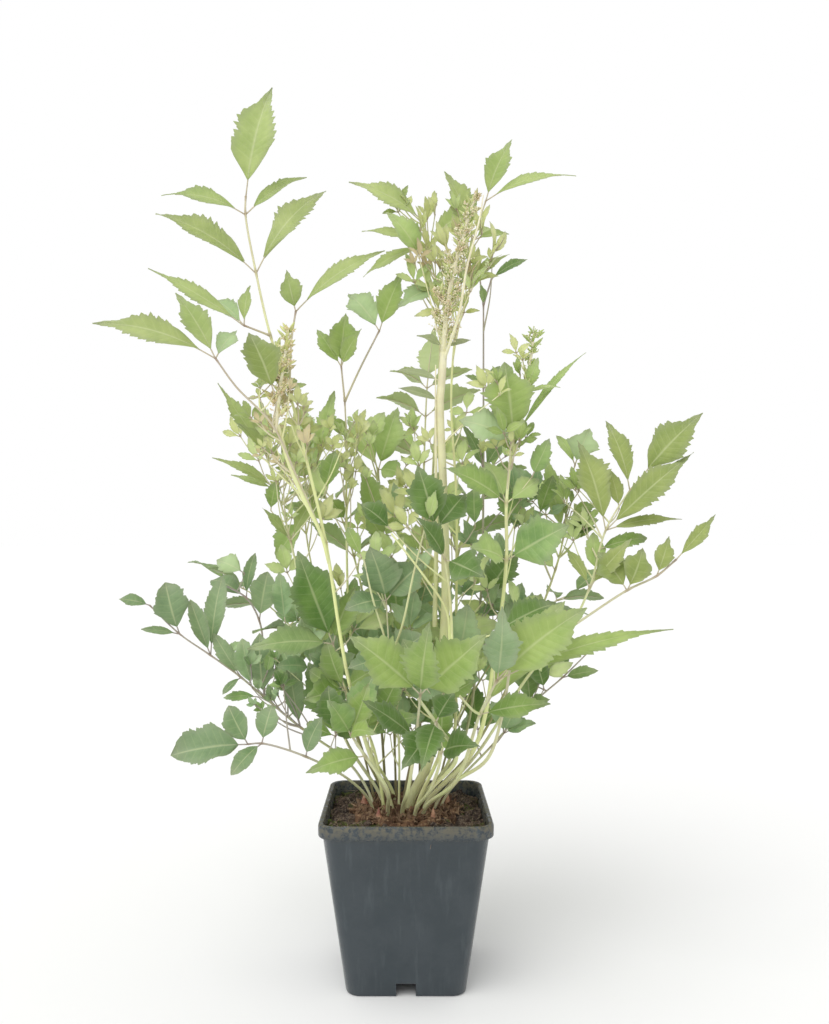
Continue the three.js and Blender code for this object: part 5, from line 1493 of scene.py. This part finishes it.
SIDE_STALK_REACH = (0.75, 1.0)
for number, frond in enumerate(fronds):
    parts = Parts()
    draw = random_from(101 + 37 * number)
    name, tone = frond["name"], frond["tone"]
    main, *sides = frond["stems"]
    joints = [stem["points"][0] for stem in sides] + [leaflet["base"] for leaflet in frond["leaflets"]]
    if tone == "stalk":
        head = flower_heads[0]["stems"][0]["points"]
        add_stem(parts, dict(points=[*main["points"][:-1], head[0] - UP * 4], foot=2.8, end=2.0, stout=True), [], 12,
                 (0.0, 0.8))
    else:
        slim = frond.get("slim", 1.0)
        add_stem(parts, {**main, "foot": slim * main["foot"], "end": slim * main["end"]}, joints, 8, (0.0, 0.85))
    for path, foot, end, reach in frond.get("bare", []):
        add_stem(parts, dict(points=[np.array(p) for p in path], foot=foot, end=end, stout=True), [], 8, reach)
    for stem in sides:
        add_stem(parts, stem, joints, 6, SIDE_STALK_REACH)
    skins = sorted({bearer["skin"] for bearer in frond["sprigs"] + frond["leaflets"] if "skin" in bearer})
    for leaflet in frond["leaflets"]:
        add_leaflet(parts, leaflet, LEAF_SHAPES[tone], draw,
                    OTHER_SKINS + skins.index(leaflet["skin"]) if "skin" in leaflet else BLADE)
    for sprig in frond["sprigs"]:
        fresh = 0.4 + 0.45 * next(draw)
        add_stem(parts, sprig["stem"], sprig["stem"]["points"][-1:], 5, (fresh, fresh + 0.12))
        for leaflet in sprig["leaflets"]:
            add_leaflet(parts, leaflet, (0.8 + 0.4 * next(draw), 0.8 + 0.4 * next(draw), 0.1, 1.0), draw,
                        OTHER_SKINS + skins.index(sprig["skin"]), sprig["fine"])
    piece = parts.build("leafy_" + name, [stem_skins[frond.get("stem", "plain")], leaf_skins[frond.get("skin", tone)],
                                          *(leaf_skins[skin] for skin in skins)])
    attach(piece, "root")
    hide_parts("frond_" + name)

# ---------------------------------------------------------------- flower heads
# Three heads still in bud: a ribbed axis with short side branches, each packed with buds the size of a pinhead.
# The middle one has coloured to cream and brown, the side ones are still green.
GOLDEN_TURN = 2.39996
TWIG_SHARES = (0.0, 0.5, 1.0)


def pack_group():
    """A copy of one thing at each point, standing along its 'way' mark and sized by its 'size' mark."""
    group = new_group("pack", "GeometryNodeTree", {"Spots": "Geometry", "Thing": "Object", "Skin": "Material"},
                      {"Pieces": "Geometry"})
    way, size = (add_node(group, "GeometryNodeInputNamedAttribute", {"Name": mark}, data_type=kind)
                 for mark, kind in (("way", "FLOAT_VECTOR"), ("size", "FLOAT")))
    upright = add_node(group, "FunctionNodeAlignRotationToVector", {"Vector": way.outputs["Attribute"]}, axis="Z")
    return place_copies(group, add_node(group, "NodeGroupInput").outputs["Spots"], upright.outputs["Rotation"],
                        size.outputs["Attribute"])


PACK = pack_group()


def flower_bud(name):
    """One closed bud on a short stalk."""
    points = [(0, 0, -0.7)]
    for radius, z in ((0.16, -0.6), (0.18, 0.05), (0.68, 0.5), (0.58, 1.15), (0.12, 1.62)):
        points += [(radius * math.cos(math.tau * i / 5), radius * math.sin(math.tau * i / 5), z) for i in range(5)]
    return capped_rings(name, points, 5)


def bract(name):
    """A narrow scale leaf that stands off the stalk and curves back."""
    halves = [0.62 * math.sin(math.pi * min(0.97, 0.1 + 0.87 * k / 5)) ** 0.9 + 0.02 for k in range(6)]
    return curled_scale(name, halves, 3, 0.25, 0.9, 5, 0.12)


def bud_skin_of(name, first, second, third):
    material, tree, shader = living_skin(name, 0.55, 0.3, (0.8, 0.7, 0.4), 0.001)
    mixed = colour_mix(tree, mark_of(tree, "tint"), srgb(*first), srgb(*second))
    patches = part_of(tree, place_patches(tree, 160, 0.55, 0.06), 0.6)
    set_inputs(tree, shader, {"Base Color": colour_mix(tree, patches, mixed, srgb(*third))})
    return material


# For each head: the colour name and colours of its buds and bracts, its axis's foot and end radius, how far its
# sprays reach and how much they shorten towards its top, how many buds each twig has, how many bracts there are
# and how long they are against a plain one, and how many twigs stand on the axis itself and how far they reach.
# The cream buds of the middle and left heads are painted paler, as painted light against the shade the packed buds
# cast on each other.
HEAD_LOOKS = {
    "flower_head_center": dict(
        colour="cream", buds=((250, 244, 218), (222, 214, 170), (214, 188, 158)),
        bracts=((214, 220, 158), (174, 190, 120), (204, 188, 148)), axis=(1.9, 0.8), slim=1.0, fade=0.5,
        per_twig=5, bract_count=420, bract_size=(0.5, 1.4), on_axis=190, fluff=7.5),
    "flower_head_left": dict(
        colour="olive", buds=((250, 240, 208), (228, 216, 172), (228, 196, 164)),
        bracts=((230, 230, 172), (198, 206, 130), (226, 204, 160)), axis=(1.25, 0.6), slim=0.85, fade=0.85,
        per_twig=3, bract_count=170, bract_size=(0.5, 1.6), on_axis=60, fluff=6.0),
    "flower_head_right": dict(
        colour="green", buds=((204, 216, 154), (176, 193, 118), (200, 198, 144)),
        bracts=((190, 208, 136), (154, 178, 98), (186, 196, 138)), axis=(1.1, 0.6), slim=0.75, fade=0.0,
        per_twig=2, bract_count=50, bract_size=(0.7, 1.7), on_axis=14, fluff=2.5),
}


def pack(name, spots, thing, skin):
    """A piece made of one thing at many spots, each with its place, way, size and tint."""
    places, ways, sizes, tints = zip(*spots)
    piece = new_piece(name, places, [])
    for mark, kind, field, values in (("way", "FLOAT_VECTOR", "vector", ways), ("size", "FLOAT", "value", sizes),
                                      ("tint", "FLOAT", "value", tints)):
        layer = piece.data.attributes.new(mark, kind, "POINT")
        layer.data.foreach_set(field, np.array(values).ravel())
    run_nodes(piece, PACK, {"Thing": thing, "Skin": skin})
    drop(thing)
    return piece


def add_twig(parts, foot, way, long, radii):
    add_tube(parts, [foot + way * long * share for share in TWIG_SHARES], radii, 4, along=0.95)


for number, head in enumerate(flower_heads):
    name, look = head["name"], HEAD_LOOKS[head["name"]]
    fade = look["fade"]
    parts = Parts()
    draw = random_from(811 + 53 * number)
    axis = head["stems"][0]["points"]
    foot = axis[0] - unit(axis[1] - axis[0]) * 6
    add_stem(parts, dict(points=[foot, *axis], foot=look["axis"][0], end=look["axis"][1], stout=True), [], 10,
             (0.6, 1.0))
    sprays = [(start, start + (tip - start) * look["slim"] * (1 - fade * i / len(head["sprays"])))
              for i, (start, tip) in enumerate(head["sprays"])]
    spots = []
    for i in range(look["on_axis"]):
        t = 0.01 + 0.98 * i / look["on_axis"]
        turn = GOLDEN_TURN * i
        out = unit(np.array((math.cos(turn), math.sin(turn), 0.25 + 0.6 * next(draw))))
        middle = curve_point(axis, t)
        far = (1.8 + look["fluff"] * next(draw) ** 1.5) * (0.5 + 1.1 * math.sin(math.pi * min(1, t + 0.12)))
        far *= 1 - fade * t
        if out[1] < -0.6 and i % 3:
            continue
        add_twig(parts, middle, out, far, (0.18, 0.14, 0.1))
        for k in range(3):
            spots.append((middle + out * far * (0.7 + 0.18 * k),
                          unit(out + np.array([0.9 * (next(draw) - 0.5) for _ in range(3)])),
                          (0.42 + 0.36 * next(draw)) * (1 - 0.5 * fade * t), next(draw) * (0.3 + 0.7 * t)))
    for start, tip in sprays:
        reach = np.linalg.norm(tip - start)
        ahead = unit(tip - start)
        across = unit(np.cross(ahead, UP))
        other = np.cross(ahead, across)
        sag = [start + (tip - start) * t - UP * 0.06 * reach * math.sin(math.pi * t) for t in np.linspace(0, 1, 7)]
        add_tube(parts, sag, [0.42 - 0.27 * k / 6 for k in range(7)], 5, along=0.9)
        twigs = max(3, round(1.25 * reach))
        for i in range(twigs):
            t = 0.1 + 0.9 * i / (twigs - 1)
            turn = GOLDEN_TURN * i
            out = across * math.cos(turn) + other * math.sin(turn)
            way = unit(ahead * 0.75 + out * 0.8)
            long = SPRAY_RADIUS * (0.9 + 0.9 * next(draw)) * (1.15 - 0.6 * t)
            foot = sag[0] + (sag[-1] - sag[0]) * t
            add_twig(parts, foot, way, long, (0.16, 0.13, 0.1))
            for k in range(look["per_twig"]):
                u = 0.35 + 0.75 * k / (look["per_twig"] - 1)
                roll = 2.4 * k + turn
                aside = across * math.cos(roll) + other * math.sin(roll)
                spots.append((foot + way * long * u + aside * 0.3, unit(way + aside * (0.4 + 0.8 * next(draw))),
                              0.48 + 0.4 * next(draw), next(draw)))
    bract_spots = []
    smallest, largest = look["bract_size"]
    for i in range(look["bract_count"]):
        start, tip = sprays[i % len(sprays)]
        t = next(draw)
        turn = GOLDEN_TURN * i
        out = np.array((math.cos(turn), math.sin(turn), 0.0))
        bract_spots.append((start + (tip - start) * t * 0.9,
                            unit(unit(tip - start) * (0.4 + 0.5 * next(draw)) + out * 0.8 + UP * 0.2),
                            smallest + (largest - smallest) * next(draw) ** 2, next(draw)))
    colour = look["colour"]
    bud_skin = bud_skin_of("buds_" + colour, *look["buds"])
    bract_skin = bud_skin_of("bracts_" + colour, *look["bracts"])
    for piece in (parts.build(name + "_twigs", [stem_skins["cream"]]),
                  pack(name + "_buds", spots, flower_bud("bud_thing"), bud_skin),
                  pack(name + "_bracts", bract_spots, bract("bract_thing"), bract_skin)):
        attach(piece, "root")
        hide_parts(name)
